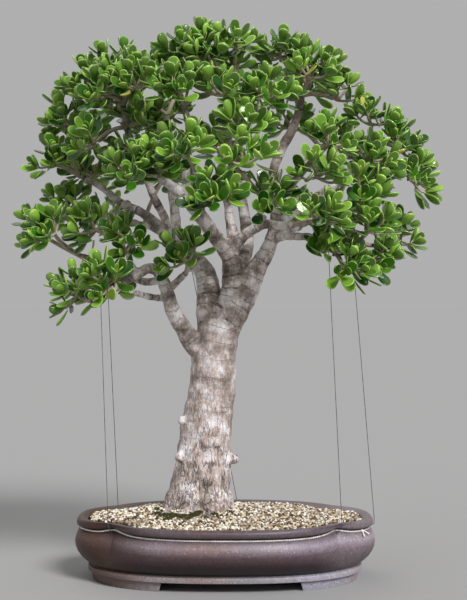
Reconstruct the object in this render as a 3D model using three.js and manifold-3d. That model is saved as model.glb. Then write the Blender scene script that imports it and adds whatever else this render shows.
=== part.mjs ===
// Jade bonsai: a broad-crowned jade plant on one leaning trunk, planted in a lobed oval pot.
// Millimetres. X runs along the pot, +Y to the back, +Z up; the origin is under the pot's middle.
import * as THREE from "three";
import { mergeVertices } from "three/addons/utils/BufferGeometryUtils.js";
import Module from "manifold-3d";

const wasm = await Module();
wasm.setup();

// Pot: a front-and-back lobe and an end-to-end lobe, both rounded oblongs, that meet in four
// notches. Each is [half length, half depth, power]: the higher the power, the squarer the oblong.
// The oval is the plain outline of the foot band, where the notches have faded out.
const LOBES = { long: [208.4, 187, 2.6], end: [258, 120.4, 3.2], oval: [258, 187, 2.4] };
const POT = {
  longSteps: 9,
  endSteps: 7,
  footHeight: 16,
  floorTop: 30,
  footGap: 243,
  footGapSlant: 7,
  drainRadius: 14,
  drainX: 95,
};

// Pot wall as [inset from the rim outline, height, depth of the notches from 0 to 1], up the
// outside, over the lip and down inside.
const POT_WALL = [
  [20, 16, 0],
  [20, 25, 0],
  [25, 27, 0],
  [13, 35, 0.2],
  [2, 48, 0.7],
  [-2, 64, 1],
  [4, 84, 1],
  [10, 86.5, 1],
  [10, 90.5, 1],
  [1, 92.5, 1],
  [1, 101, 1],
  [8, 106, 0.55],
  [20, 101, 1],
  [20, 56, 1],
  [44, 30, 1],
];

// Where a wire runs down the lip's outer face, with the depth of the notches at the top.
const POT_LIP = { bottom: 91.2, top: 103, topDepth: 0.82 };

// Foot ring under the band, as insets of its outside at the top and the bottom, and of its inside.
const FOOT = { topInset: 26, bottomInset: 28, innerInset: 52 };

// Gravel bed: its outer wall as [inset, height], then the mound that rises to the trunk.
const FIT = 0.8;
const BED_WALL = [
  [46, 30.4],
  [22, 56],
  [22, 98],
];
const MOUND = { edge: 101, crown: 119, swell: 1.6, rings: 4, rimStart: 0.02, grain: 1.6 };

// Trunk as [x, y, z, radius] from its foot in the soil to the first fork.
const TRUNK_FOOT = { x: -45, radius: 60, depth: 62 };
const TRUNK = [
  [-45, 0, TRUNK_FOOT.depth + FIT, TRUNK_FOOT.radius],
  [-45, 0, 117, TRUNK_FOOT.radius],
  [-45, 0, 125, 58.5],
  [-45, 0, 144, 54],
  [-42, 0, 160, 51.5],
  [-38, 0, 192, 48.5],
  [-37, 0, 215, 46.7],
  [-32, 0, 265, 44.2],
  [-25, 0, 305, 41.6],
  [-21, 0, 354, 40],
  [-18, 0, 389, 39],
  [-13, 0, 418, 37],
  [-4, 0, 446, 32],
];

// Knobs left on the trunk by shed limbs, as [x, y, z, radius].
const KNOBS = [
  [-75, -14, 271, 8],
  [-32, -46, 233, 9],
  [-13, -42, 234, 8],
  [-77, -26, 208, 10],
  [14, -12, 204, 10],
  [-29, -49, 170, 9],
  [-2, -34, 291, 7],
];

// Limbs as [x, y, z, radius]: the first point lies inside the wood that bears them.
const LIMBS = {
  centre: [
    [-4, 0, 440, 33],
    [14, 0, 475, 29],
    [17, -2, 501, 24],
    [13, -3, 528, 18],
    [10, -4, 555, 15],
    [14, -6, 590, 11],
    [9, -10, 616, 8.5],
    [5, -16, 645, 7],
  ],
  centre_top: [
    [6, -14, 640, 7],
    [-4, 2, 690, 7],
    [-2, 14, 745, 6.5],
    [10, 12, 805, 6],
    [14, -2, 862, 5],
  ],
  centre_front: [
    [5, -16, 645, 7],
    [4, -60, 668, 6.5],
    [2, -110, 690, 6],
    [12, -150, 700, 5],
  ],
  centre_right: [
    [14, -4, 572, 11],
    [30, -14, 588, 9],
    [47, -24, 601, 9],
    [69, -40, 610, 8],
    [94, -70, 606, 7],
    [116, -100, 606, 6],
  ],
  centre_back: [
    [18, 4, 530, 14],
    [37, 26, 565, 12],
    [39, 46, 598, 11],
    [34, 74, 640, 9.5],
    [26, 112, 690, 8],
    [10, 150, 735, 6],
  ],
  low_left: [
    [-18, 0, 385, 28],
    [-51, -8, 400, 19],
    [-71, -14, 428, 15],
    [-87, -20, 454, 13.5],
    [-97, -27, 482, 12],
    [-104, -32, 506, 11],
    [-116, -38, 529, 10],
    [-132, -45, 534, 9],
    [-149, -52, 523, 8],
    [-172, -61, 510, 7],
    [-200, -70, 492, 6],
    [-226, -80, 478, 5],
  ],
  low_left_front: [
    [-97, -27, 482, 6],
    [-128, -58, 485, 5.5],
    [-153, -86, 492, 5],
  ],
  low_left_back: [
    [-108, -34, 514, 7],
    [-142, 6, 512, 6.5],
    [-175, 42, 525, 6.5],
    [-216, 66, 545, 6],
    [-262, 76, 560, 5.5],
  ],
  low_left_up: [
    [-149, -52, 522, 7],
    [-160, -48, 538, 6],
    [-168, -36, 562, 5],
  ],
  rosette_twig: [
    [-100, -30, 494, 7],
    [-80, -58, 513, 6],
    [-66, -84, 525, 5.5],
  ],
  left: [
    [-12, 2, 410, 31],
    [-26, 10, 448, 24],
    [-28, 18, 480, 22],
    [-30, 24, 506, 20],
    [-38, 30, 533, 18],
    [-62, 36, 556, 16],
    [-91, 42, 580, 13],
    [-114, 48, 608, 10.5],
    [-150, 54, 637, 8],
    [-186, 58, 654, 7],
    [-224, 60, 684, 6],
    [-262, 56, 704, 5],
  ],
  left_low: [
    [-160, 55, 642, 6.5],
    [-193, 84, 636, 6],
    [-226, 108, 632, 5.5],
  ],
  left_back: [
    [-66, 38, 560, 13],
    [-92, 86, 588, 10],
    [-124, 132, 610, 8],
    [-150, 168, 622, 6],
  ],
  left_up: [
    [-104, 46, 596, 9],
    [-106, 28, 622, 7.5],
    [-124, 8, 659, 7],
    [-136, -4, 690, 6.5],
    [-152, -14, 730, 6],
    [-170, -26, 778, 5.5],
    [-176, -34, 818, 5],
  ],
  left_up_back: [
    [-86, 42, 574, 11],
    [-88, 62, 611, 9.5],
    [-92, 80, 650, 8.5],
    [-102, 96, 700, 7.5],
    [-112, 112, 760, 6.5],
    [-106, 118, 820, 5.5],
  ],
  diagonal: [
    [11, -4, 548, 14],
    [-3, -15, 570, 13],
    [-23, -26, 598, 12.5],
    [-41, -34, 623, 12],
    [-60, -42, 645, 11],
    [-78, -50, 663, 9.5],
    [-100, -66, 680, 7.5],
    [-124, -90, 690, 6],
  ],
  diagonal_up: [
    [-60, -42, 645, 9],
    [-66, -52, 680, 8],
    [-66, -58, 725, 7],
    [-62, -58, 773, 6],
    [-70, -60, 812, 5.5],
  ],
  diagonal_front: [
    [-43, -36, 625, 9],
    [-42, -78, 652, 7],
    [-46, -118, 680, 6],
    [-50, -145, 695, 5],
  ],
  right: [
    [-2, 0, 442, 33],
    [16, -1, 468, 30],
    [33, -2, 493, 25],
    [45, -4, 516, 21],
    [57, -5, 538, 17],
    [71, -5, 560, 14],
    [81, -4, 584, 12],
    [87, -1, 610, 10.5],
    [90, 4, 640, 9.5],
    [88, 9, 668, 9],
    [84, 14, 700, 8.5],
    [99, 22, 745, 8.5],
    [118, 28, 779, 8],
    [130, 34, 812, 7],
    [136, 36, 842, 6],
  ],
  right_low_front: [
    [84, -5, 588, 9],
    [105, -30, 590, 7],
    [126, -58, 588, 6.5],
    [150, -86, 584, 6],
    [182, -103, 563, 5],
  ],
  right_low_back: [
    [80, 0, 582, 9],
    [108, 30, 600, 8],
    [136, 78, 616, 7],
    [162, 122, 628, 6],
  ],
  right_mid: [
    [86, 0, 606, 9],
    [120, 12, 634, 8.5],
    [165, 24, 664, 8],
    [204, 32, 690, 7.5],
    [232, 34, 724, 6.5],
    [252, 30, 758, 5.5],
  ],
  right_mid_low: [
    [168, 24, 664, 7],
    [194, 6, 634, 6.5],
    [220, -16, 600, 6],
    [233, -34, 578, 5],
  ],
  right_front: [
    [90, 4, 650, 8],
    [112, -28, 676, 7],
    [134, -66, 700, 6],
    [148, -86, 716, 5],
  ],
  right_back: [
    [90, 6, 650, 8.5],
    [112, 44, 692, 8],
    [146, 84, 728, 7],
    [172, 118, 762, 6],
  ],
  back_mid: [
    [38, 44, 594, 9],
    [58, 98, 618, 8],
    [72, 152, 634, 6],
  ],
};

// Middle of each clump of leaves.
const CLUMPS = [
  [-239, -10, 866],
  [-176, -50, 877],
  [-119, 10, 880],
  [-64, -20, 926],
  [19, -30, 930],
  [97, 20, 924],
  [159, 0, 902],
  [202, 50, 852],
  [-78, -120, 835],
  [-5, -96, 840],
  [72, -110, 833],
  [-276, 20, 803],
  [-224, -60, 761],
  [-303, 10, 736],
  [-246, 90, 724],
  [-160, -140, 700],
  [-66, -184, 732],
  [34, -136, 774],
  [30, -204, 712],
  [-14, -212, 655],
  [66, -164, 650],
  [-62, -118, 561],
  [258, 10, 803],
  [175, -120, 753],
  [306, 30, 762],
  [328, -6, 702],
  [250, -70, 728],
  [150, -160, 694],
  [232, -116, 668],
  [150, -186, 622],
  [238, -130, 606],
  [196, -132, 544],
  [254, -56, 559],
  [296, 14, 596],
  [-324, 50, 609],
  [-286, 110, 658],
  [-227, -10, 616],
  [-158, -70, 592],
  [-252, -60, 503],
  [-194, -116, 522],
  [-215, 190, 650],
  [-110, 226, 735],
  [150, 226, 655],
  [212, 176, 656],
  [-250, 160, 790],
  [-30, 222, 790],
  [60, 230, 860],
  [-76, 140, 896],
  [206, 140, 780],
];

// How a clump grows: its twig, the forks that spread from its middle and the rosettes they end in.
const CLUMP = {
  sag: 14,
  spread: 32,
  openAngle: 1,
  lift: 0.6,
  outwardTurn: 0.7,
  twigBase: 4.6,
  twigTip: 3.2,
  twigSides: 4,
  forkRadius: 2.6,
  forkSunk: 2,
  stemLength: 13,
  leavesOfRosette: [4, 3],
};
const CROWN_MIDDLE = new THREE.Vector3(0, 0, 640);
const GROWTH_SEED = 4157;
const SEED_STEP = 97;

// A leaf's length, its width, keel and upturn as shares of it, and its root's start off the axis.
const LEAF = { length: 36, width: 0.54, keel: 0.13, upturn: 0.1, root: 0.8 };

// Crossed pairs of a rosette, the outer one first: angle off the axis and drop below the tip.
const PAIRS = [
  { open: 1.15, drop: 10 },
  { open: 0.75, drop: 4 },
];

// Tie string round the pot's neck, and the wires from it up to the limbs.
const STRING = { inset: 8.4, height: 88.5, radius: 1.1, sides: 6 };
const KNOT = { inset: 6, radius: 2.4, tailRadius: 0.8, tailInset: -1.5, tailDrop: 5, tailSpread: 5 };
const WIRE_RADIUS = 0.6;
const WIRE_STAND_OFF = 0.5;
const LOOP_CLEARANCE = 0.25;
const GUY_WIRES = [
  { limb: [-214, -75, 485, 5.6], tie: "front_left" },
  { limb: [-201, -70, 491, 6], tie: "back_left" },
  { limb: [177, -100, 567, 5.2], tie: "front_right" },
  { limb: [222, -18, 597, 6], tie: "right_end" },
  { limb: [-50, 33, 545, 17.2], tie: "back" },
];

const COLOUR = {
  pot: 0x5b4a48,
  gravel: 0xcdbb93,
  bark: 0xa79a86,
  leaf: 0x4d8a2c,
  string: 0xd9d4c4,
  wire: 0x4a4a4c,
  screen: 0x22251f,
};

// Repeatable draw between 0 and 1, and one spread evenly round zero.
function seeded(seed) {
  let state = seed >>> 0;
  return () => {
    state = (Math.imul(state, 1664525) + 1013904223) >>> 0;
    return state / 4294967296;
  };
}

function jitter(draw, width) {
  return width * (draw() - 0.5);
}

function solid(geometry) {
  const bare = new THREE.BufferGeometry();
  bare.setAttribute("position", geometry.getAttribute("position"));
  bare.setIndex(geometry.getIndex());
  const merged = mergeVertices(bare, 1e-4);
  return new wasm.Manifold(
    new wasm.Mesh({
      numProp: 3,
      vertProperties: merged.getAttribute("position").array,
      triVerts: new Uint32Array(merged.getIndex().array),
    }),
  );
}

function fuse(solids) {
  return solids.reduce((whole, piece) => whole.add(piece));
}

function meshFrom(name, shape, material) {
  const data = shape.getMesh();
  const geometry = new THREE.BufferGeometry();
  geometry.setAttribute("position", new THREE.BufferAttribute(data.vertProperties, 3));
  geometry.setIndex(new THREE.BufferAttribute(data.triVerts, 1));
  geometry.computeVertexNormals();
  const mesh = new THREE.Mesh(geometry, material);
  mesh.name = name;
  return mesh;
}

// Triangles of a flat or conical end: a fan from its first point, or round its middle.
function endFan(first, count, middle) {
  const faces = [];
  if (middle === null) {
    for (let i = 1; i < count - 1; i++) {
      faces.push(first, first + i, first + i + 1);
    }
    return faces;
  }
  for (let i = 0; i < count; i++) {
    faces.push(middle, first + i, first + ((i + 1) % count));
  }
  return faces;
}

// A closed solid skinned over rings of equal point counts that run anticlockwise up its length.
function loft(rings, middles = null) {
  const count = rings[0].length;
  const points = rings.flat();
  const faces = [];
  for (let r = 0; r < rings.length - 1; r++) {
    for (let i = 0; i < count; i++) {
      const a = r * count + i;
      const b = r * count + ((i + 1) % count);
      faces.push(a, b, b + count, a, b + count, a + count);
    }
  }
  let bottom = null;
  let top = null;
  if (middles !== null) {
    bottom = points.push(middles[0]) - 1;
    top = points.push(middles[1]) - 1;
  }
  faces.push(...endFan(0, count, bottom).reverse());
  faces.push(...endFan((rings.length - 1) * count, count, top));
  const geometry = new THREE.BufferGeometry().setFromPoints(points);
  geometry.setIndex(faces);
  return geometry;
}

// Two directions square to a third, so that the three make a right-handed frame.
function sideways(along) {
  const guide = Math.abs(along.z) < 0.9 ? new THREE.Vector3(0, 0, 1) : new THREE.Vector3(1, 0, 0);
  const across = new THREE.Vector3().crossVectors(guide, along).normalize();
  const over = new THREE.Vector3().crossVectors(along, across);
  return [across, over];
}

function ringRound(middle, along, radius, sides, across = null) {
  const first = (across ?? sideways(along)[0]).clone();
  first.addScaledVector(along, -first.dot(along)).normalize();
  const second = new THREE.Vector3().crossVectors(along, first);
  const ring = [];
  for (let i = 0; i < sides; i++) {
    const turn = (i / sides) * 2 * Math.PI;
    ring.push(
      middle
        .clone()
        .addScaledVector(first, radius * Math.cos(turn))
        .addScaledVector(second, radius * Math.sin(turn)),
    );
  }
  return { ring, first };
}

// A round stem along a curve; radiusAt gives its radius at a share of its length.
function stem(curve, radiusAt, sides, steps, from = 0, to = 1) {
  const rings = [];
  let across = null;
  for (let i = 0; i <= steps; i++) {
    const share = from + ((to - from) * i) / steps;
    const made = ringRound(
      curve.getPoint(share),
      curve.getTangent(share).normalize(),
      radiusAt(share),
      sides,
      across,
    );
    across = made.first;
    rings.push(made.ring);
  }
  return loft(rings);
}

// A stem through a few corners, with a radius at each.
function bentStem(corners, radii, sides) {
  let first = null;
  return loft(
    corners.map((corner, i) => {
      const before = corners[Math.max(0, i - 1)];
      const after = corners[Math.min(corners.length - 1, i + 1)];
      const along = after.clone().sub(before).normalize();
      const made = ringRound(corner, along, radii[i], sides, first);
      first = made.first;
      return made.ring;
    }),
  );
}

function limbCurve(points) {
  return new THREE.CatmullRomCurve3(
    points.map(([x, y, z]) => new THREE.Vector3(x, y, z)),
    false,
    "centripetal",
  );
}

function limb(points, sides, stepLength) {
  const spans = points.length - 1;
  const radiusAt = (share) => {
    const place = Math.min(Math.floor(share * spans), spans - 1);
    return THREE.MathUtils.lerp(points[place][3], points[place + 1][3], share * spans - place);
  };
  const curve = limbCurve(points);
  return stem(curve, radiusAt, sides, Math.max(2, Math.round(curve.getLength() / stepLength)));
}

// Distance from the middle to a rounded oblong's edge in a direction.
function oblongReach([halfLength, halfDepth, power], inset, turn) {
  const along = Math.abs(Math.cos(turn)) / (halfLength - inset);
  const across = Math.abs(Math.sin(turn)) / (halfDepth - inset);
  return (along ** power + across ** power) ** (-1 / power);
}

// Direction of the notch, where the long lobe and the end lobe reach equally far.
function notchTurn(inset) {
  let low = 0;
  let high = Math.PI / 2;
  for (let i = 0; i < 30; i++) {
    const turn = (low + high) / 2;
    const endIsFarther =
      oblongReach(LOBES.end, inset, turn) > oblongReach(LOBES.long, inset, turn);
    if (endIsFarther) low = turn;
    else high = turn;
  }
  return low;
}

// Outline of the pot at an inset from the rim, anticlockwise from the front left notch.
function lobedOutline(inset, height, depth = 1) {
  const notch = notchTurn(inset);
  const turns = [];
  for (const [from, to, steps] of [
    [notch - Math.PI, -notch, POT.longSteps],
    [-notch, notch, POT.endSteps],
    [notch, Math.PI - notch, POT.longSteps],
    [Math.PI - notch, Math.PI + notch, POT.endSteps],
  ]) {
    for (let i = 0; i < steps; i++) turns.push(THREE.MathUtils.lerp(from, to, i / steps));
  }
  return turns.map((turn) => {
    const lobed = Math.max(
      oblongReach(LOBES.long, inset, turn),
      oblongReach(LOBES.end, inset, turn),
    );
    const reach = THREE.MathUtils.lerp(oblongReach(LOBES.oval, inset, turn), lobed, depth);
    return new THREE.Vector3(reach * Math.cos(turn), reach * Math.sin(turn), height);
  });
}

const OUTLINE_POINTS = 2 * (POT.longSteps + POT.endSteps);

// Outline points where the wires are tied: three notches, the right end and the back; and the knot.
const TIE_AT = {
  front_left: 0,
  front_right: POT.longSteps,
  knot: POT.longSteps + 2,
  right_end: POT.longSteps + 3,
  back: POT.longSteps + POT.endSteps + 4,
  back_left: 2 * POT.longSteps + POT.endSteps,
};

function pot() {
  const last = POT_WALL[POT_WALL.length - 1];
  const wall = solid(
    loft(
      POT_WALL.map((level) => lobedOutline(...level)),
      [new THREE.Vector3(0, 0, POT_WALL[0][1]), new THREE.Vector3(0, 0, last[1])],
    ),
  );
  const overlap = 1;
  const outside = solid(
    loft(
      [
        lobedOutline(FOOT.bottomInset, 0, 0),
        lobedOutline(FOOT.topInset, POT.footHeight + overlap, 0),
      ],
      [new THREE.Vector3(0, 0, 0), new THREE.Vector3(0, 0, POT.footHeight + overlap)],
    ),
  );
  const inside = solid(
    loft(
      [lobedOutline(FOOT.innerInset, -1, 0), lobedOutline(FOOT.innerInset, POT.footHeight, 0)],
      [new THREE.Vector3(0, 0, -1), new THREE.Vector3(0, 0, POT.footHeight)],
    ),
  );
  const feet = outside.subtract(inside).subtract(footGap());
  return drainHoles(POT.drainRadius, 0, POT.floorTop + 1).reduce(
    (body, hole) => body.subtract(hole),
    wall.add(feet),
  );
}

// The slanted gap between the left and right feet, front and back.
function footGap() {
  const half = POT.footGap / 2;
  const shape = new THREE.Shape([
    new THREE.Vector2(-half + POT.footGapSlant, -1),
    new THREE.Vector2(half - POT.footGapSlant, -1),
    new THREE.Vector2(half, POT.footHeight),
    new THREE.Vector2(-half, POT.footHeight),
  ]);
  const depth = 3 * LOBES.oval[1];
  const gap = new THREE.ExtrudeGeometry(shape, { depth, bevelEnabled: false });
  gap.rotateX(Math.PI / 2);
  gap.translate(0, depth / 2, 0);
  return solid(gap);
}

function drainHoles(radius, bottom, top) {
  return [-1, 1].map((side) => {
    const hole = new THREE.CylinderGeometry(radius, radius, top - bottom, 16);
    hole.rotateX(Math.PI / 2);
    hole.translate(side * POT.drainX, 0, (top + bottom) / 2);
    return solid(hole);
  });
}

// Drain screens: a square plastic lattice that lies over each drain hole inside the pot.
const SCREEN = { side: 44, thickness: 1.6, holes: 2, bar: 3, lift: 0.3, room: 1 };

function drainScreen(side) {
  const pitch = (SCREEN.side - SCREEN.bar) / SCREEN.holes;
  const opening = pitch - SCREEN.bar;
  const plate = new THREE.BoxGeometry(SCREEN.side, SCREEN.side, SCREEN.thickness);
  let lattice = solid(plate);
  for (let row = 0; row < SCREEN.holes; row++) {
    for (let column = 0; column < SCREEN.holes; column++) {
      const middle = (SCREEN.holes - 1) / 2;
      const hole = new THREE.BoxGeometry(opening, opening, 2 * SCREEN.thickness);
      hole.translate((column - middle) * pitch, (row - middle) * pitch, 0);
      lattice = lattice.subtract(solid(hole));
    }
  }
  const height = POT.floorTop + SCREEN.lift + SCREEN.thickness / 2;
  return lattice.translate([side * POT.drainX, 0, height]);
}

function screenRoom(side) {
  const width = SCREEN.side + SCREEN.room;
  const room = new THREE.BoxGeometry(width, width, 2 * (SCREEN.thickness + SCREEN.room));
  room.translate(side * POT.drainX, 0, POT.floorTop + SCREEN.lift);
  return solid(room);
}

// Height of the gravel over a point: a mound towards the trunk, with a grain raised by a formula.
function gravelHeight(x, y, rise) {
  const grain = Math.sin(0.31 * x + 0.17 * y) * Math.cos(0.23 * y - 0.11 * x);
  return THREE.MathUtils.lerp(MOUND.edge, MOUND.crown, rise ** MOUND.swell) + MOUND.grain * grain;
}

function gravelBed() {
  const rings = BED_WALL.map((level) => lobedOutline(...level));
  const rim = rings[rings.length - 1];
  const holeRadius = TRUNK_FOOT.radius + 2 * FIT;
  const hole = rim.map((point) => {
    const turn = Math.atan2(point.y, point.x - TRUNK_FOOT.x);
    return new THREE.Vector3(
      TRUNK_FOOT.x + holeRadius * Math.cos(turn),
      holeRadius * Math.sin(turn),
      0,
    );
  });
  for (let r = 0; r <= MOUND.rings; r++) {
    const rise = r / MOUND.rings;
    const share = THREE.MathUtils.lerp(MOUND.rimStart, 1, rise);
    rings.push(
      rim.map((point, i) => {
        const moved = point.clone().lerp(hole[i], share);
        moved.z = r === MOUND.rings ? MOUND.crown - 2 : gravelHeight(moved.x, moved.y, rise);
        return moved;
      }),
    );
  }
  rings.push(hole.map((point) => point.clone().setZ(TRUNK_FOOT.depth)));
  const bed = solid(
    loft(rings, [
      new THREE.Vector3(0, 0, BED_WALL[0][1]),
      new THREE.Vector3(TRUNK_FOOT.x, 0, TRUNK_FOOT.depth),
    ]),
  );
  return bed.subtract(screenRoom(-1)).subtract(screenRoom(1));
}

// Length of one straight stretch of a limb's tube, and its sides by its thickness.
const LIMB_STEP = 40;

function sidesFor(radius) {
  if (radius > 35) return 14;
  if (radius > 20) return 10;
  if (radius > 11) return 8;
  if (radius > 8) return 6;
  return 5;
}

// Each clump's twig: from the nearest thin stretch of limb, first along it, then to the clump.
const TWIG = { thickCost: 6, thinLimb: 6, bendAt: 0.4, bendReach: 0.2 };

function twigTo(middle) {
  let best = null;
  for (const points of Object.values(LIMBS)) {
    const curve = limbCurve(points);
    const spans = points.length - 1;
    for (let i = 1; i <= spans; i++) {
      const place = new THREE.Vector3(...points[i].slice(0, 3));
      const length = place.distanceTo(middle);
      const cost = length + TWIG.thickCost * Math.max(0, points[i][3] - TWIG.thinLimb);
      if (best === null || cost < best.cost) {
        best = { cost, length, place, radius: points[i][3], along: curve.getTangent(i / spans) };
      }
    }
  }
  const bend = best.place.clone().lerp(middle, TWIG.bendAt);
  bend.addScaledVector(best.along, TWIG.bendReach * best.length);
  const path = new THREE.QuadraticBezierCurve3(best.place, bend, middle);
  const base = Math.min(best.radius - 0.5, CLUMP.twigBase);
  return { path, radiusAt: (share) => THREE.MathUtils.lerp(base, CLUMP.twigTip, share) };
}

function trunk() {
  const pieces = [solid(limb(TRUNK, sidesFor(TRUNK_FOOT.radius), LIMB_STEP))];
  for (const points of Object.values(LIMBS)) {
    pieces.push(solid(limb(points, sidesFor(points[1][3]), LIMB_STEP)));
  }
  for (const [x, y, z, radius] of KNOBS) {
    const knob = new THREE.IcosahedronGeometry(radius, 0);
    knob.translate(x, y, z);
    pieces.push(solid(knob));
  }
  return fuse(pieces);
}

// One thick leaf: flat above and keeled below, with its root at the origin and its tip along +X.
function leafGeometry(length) {
  const half = (length * LEAF.width) / 2;
  const lift = LEAF.upturn * length;
  const geometry = new THREE.BufferGeometry().setFromPoints([
    new THREE.Vector3(0, 0, 0),
    new THREE.Vector3(0.62 * length, -half, 0.25 * lift),
    new THREE.Vector3(0.97 * length, -0.45 * half, lift),
    new THREE.Vector3(0.97 * length, 0.45 * half, lift),
    new THREE.Vector3(0.62 * length, half, 0.25 * lift),
    new THREE.Vector3(0.4 * length, 0, -LEAF.keel * length),
  ]);
  const above = [0, 1, 4, 1, 2, 4, 2, 3, 4];
  const below = [5, 1, 0, 5, 2, 1, 5, 3, 2, 5, 4, 3, 5, 0, 4];
  geometry.setIndex([...above, ...below]);
  return geometry;
}

// Leaves of one rosette, in crossed pairs round its axis.
function rosetteLeaves({ tip, axis }, draw) {
  const [across, over] = sideways(axis);
  const start = draw() * Math.PI;
  const size = LEAF.length * (1 + jitter(draw, 0.24));
  const leaves = [];
  PAIRS.forEach((pair, step) => {
    for (let side = 0; side < 2; side++) {
      const turn = start + (step * Math.PI) / 2 + side * Math.PI + jitter(draw, 0.3);
      const open = pair.open + jitter(draw, 0.2);
      const radial = across.clone().multiplyScalar(Math.cos(turn));
      radial.addScaledVector(over, Math.sin(turn));
      const along = axis.clone().multiplyScalar(Math.cos(open));
      along.addScaledVector(radial, Math.sin(open));
      const up = axis.clone().multiplyScalar(Math.sin(open));
      up.addScaledVector(radial, -Math.cos(open));
      const left = new THREE.Vector3().crossVectors(up, along);
      const root = tip.clone().addScaledVector(axis, -pair.drop);
      root.addScaledVector(along, LEAF.root);
      const place = new THREE.Matrix4().makeBasis(along, left, up).setPosition(root);
      leaves.push(solid(leafGeometry(size).applyMatrix4(place)));
    }
  });
  return leaves;
}

function boxesMeet(a, b, margin) {
  const one = a.boundingBox();
  const two = b.boundingBox();
  return [0, 1, 2].every(
    (i) => one.min[i] - margin < two.max[i] && two.min[i] - margin < one.max[i],
  );
}

// A piece is clear when it keeps its distance from all that stands already.
const CLEARANCE = 0.3;

function isClear(piece, standing, gap = CLEARANCE) {
  return standing.every(
    (other) => !boxesMeet(piece, other, gap) || piece.minGap(other, 1) >= gap,
  );
}

// The twig that carries a clump and runs on into its first rosette. It starts just off the bark.
function freeTwig(twig, head, standing) {
  const tube = (from) => {
    const shares = [from, (1 + from) / 2, 1];
    const corners = shares.map((share) => twig.path.getPoint(share));
    const radii = shares.map((share) => twig.radiusAt(share));
    corners.push(head.knee, head.tip);
    radii.push(CLUMP.forkRadius, CLUMP.forkRadius);
    return solid(bentStem(corners, radii, CLUMP.twigSides));
  };
  let blocked = 0;
  let free = 1;
  const halvings = 9;
  for (let i = 0; i < halvings; i++) {
    const share = (blocked + free) / 2;
    if (isClear(tube(share), standing)) free = share;
    else blocked = share;
  }
  return tube(free);
}

// Where the rosettes of a clump sit round its middle, and which way each faces.
function rosetteHeads(middle, facing, draw) {
  const [across, over] = sideways(facing);
  const turnFrom = draw() * 2 * Math.PI;
  return CLUMP.leavesOfRosette.map((leaves, k) => {
    const turn = turnFrom + k * Math.PI + jitter(draw, 0.5);
    const open = CLUMP.openAngle + jitter(draw, 0.2);
    const reach = CLUMP.spread * (1 + jitter(draw, 0.25));
    const away = facing.clone().multiplyScalar(Math.cos(open));
    away.addScaledVector(across, Math.sin(open) * Math.cos(turn));
    away.addScaledVector(over, Math.sin(open) * Math.sin(turn));
    const tip = middle.clone().addScaledVector(away, reach);
    const axis = facing.clone().lerp(away, CLUMP.outwardTurn);
    axis.z += CLUMP.lift;
    axis.normalize();
    return { tip, axis, leaves, knee: tip.clone().addScaledVector(axis, -CLUMP.stemLength) };
  });
}

// One leafy branchlet: its twig, a fork to each further rosette and their leaves, fused.
function spray(middle, twig, draw, standing) {
  const outward = middle.clone().sub(CROWN_MIDDLE).normalize();
  const facing = twig.path.getTangent(1).normalize().multiplyScalar(0.5).add(outward);
  facing.z += CLUMP.lift;
  facing.normalize();
  const heads = rosetteHeads(middle, facing, draw);
  const pieces = [freeTwig(twig, heads[0], standing)];
  for (const head of heads.slice(1)) {
    const root = middle.clone().addScaledVector(facing, -CLUMP.forkSunk);
    const radii = Array(3).fill(CLUMP.forkRadius);
    pieces.push(solid(bentStem([root, head.knee, head.tip], radii, CLUMP.twigSides)));
  }
  for (const head of heads) {
    const leaves = rosetteLeaves(head, draw).slice(0, head.leaves);
    pieces.push(...leaves.filter((leaf) => isClear(leaf, standing)));
  }
  return fuse(pieces);
}

// A guy wire: a closed loop round the limb, and a straight run down to the string.
function guyWire({ limb: [x, y, z, radius], tie }, wood) {
  const place = new THREE.Vector3(x, y, z);
  const along = limbDirection(place);
  const { edge, neck, end } = wireEnd(tie);
  const hang = edge.clone().sub(place).normalize();
  hang.addScaledVector(along, -hang.dot(along)).normalize();
  const over = new THREE.Vector3().crossVectors(along, hang);
  const frame = new THREE.Matrix4().makeBasis(hang, over, along).setPosition(place);
  const loopOf = (size) =>
    solid(new THREE.TorusGeometry(size, WIRE_RADIUS, 5, 8).applyMatrix4(frame));
  let loopRadius = radius + 2 * WIRE_RADIUS;
  while (!isClear(loopOf(loopRadius), [wood], LOOP_CLEARANCE)) loopRadius += 0.2;
  const corners = [
    place.clone().addScaledVector(hang, loopRadius),
    edge,
    neck,
    end,
  ];
  const run = solid(bentStem(corners, Array(4).fill(WIRE_RADIUS), 6));
  return loopOf(loopRadius).add(run);
}

// Direction of the nearest limb at a place.
function limbDirection(place) {
  const samples = 60;
  let best = null;
  for (const points of Object.values(LIMBS)) {
    const curve = limbCurve(points);
    for (let i = 0; i <= samples; i++) {
      const gap = curve.getPoint(i / samples).distanceTo(place);
      if (best === null || gap < best.gap) {
        best = { gap, along: curve.getTangent(i / samples).normalize() };
      }
    }
  }
  return best.along;
}

// Where a wire passes the lip's outer edge and its underside, and where it meets the string.
function wireEnd(tie) {
  const at = TIE_AT[tie];
  const lipInset = -(WIRE_RADIUS + WIRE_STAND_OFF);
  const tieInset = STRING.inset - STRING.radius - WIRE_RADIUS - WIRE_STAND_OFF;
  return {
    edge: lobedOutline(lipInset, POT_LIP.top, POT_LIP.topDepth)[at],
    neck: lobedOutline(lipInset, POT_LIP.bottom)[at],
    end: lobedOutline(tieInset, STRING.height)[at],
  };
}

// The string lies in the neck's groove, with its knot and two loose tails at the right end.
function rimString() {
  return stringLoop().add(knotWithTails());
}

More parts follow.
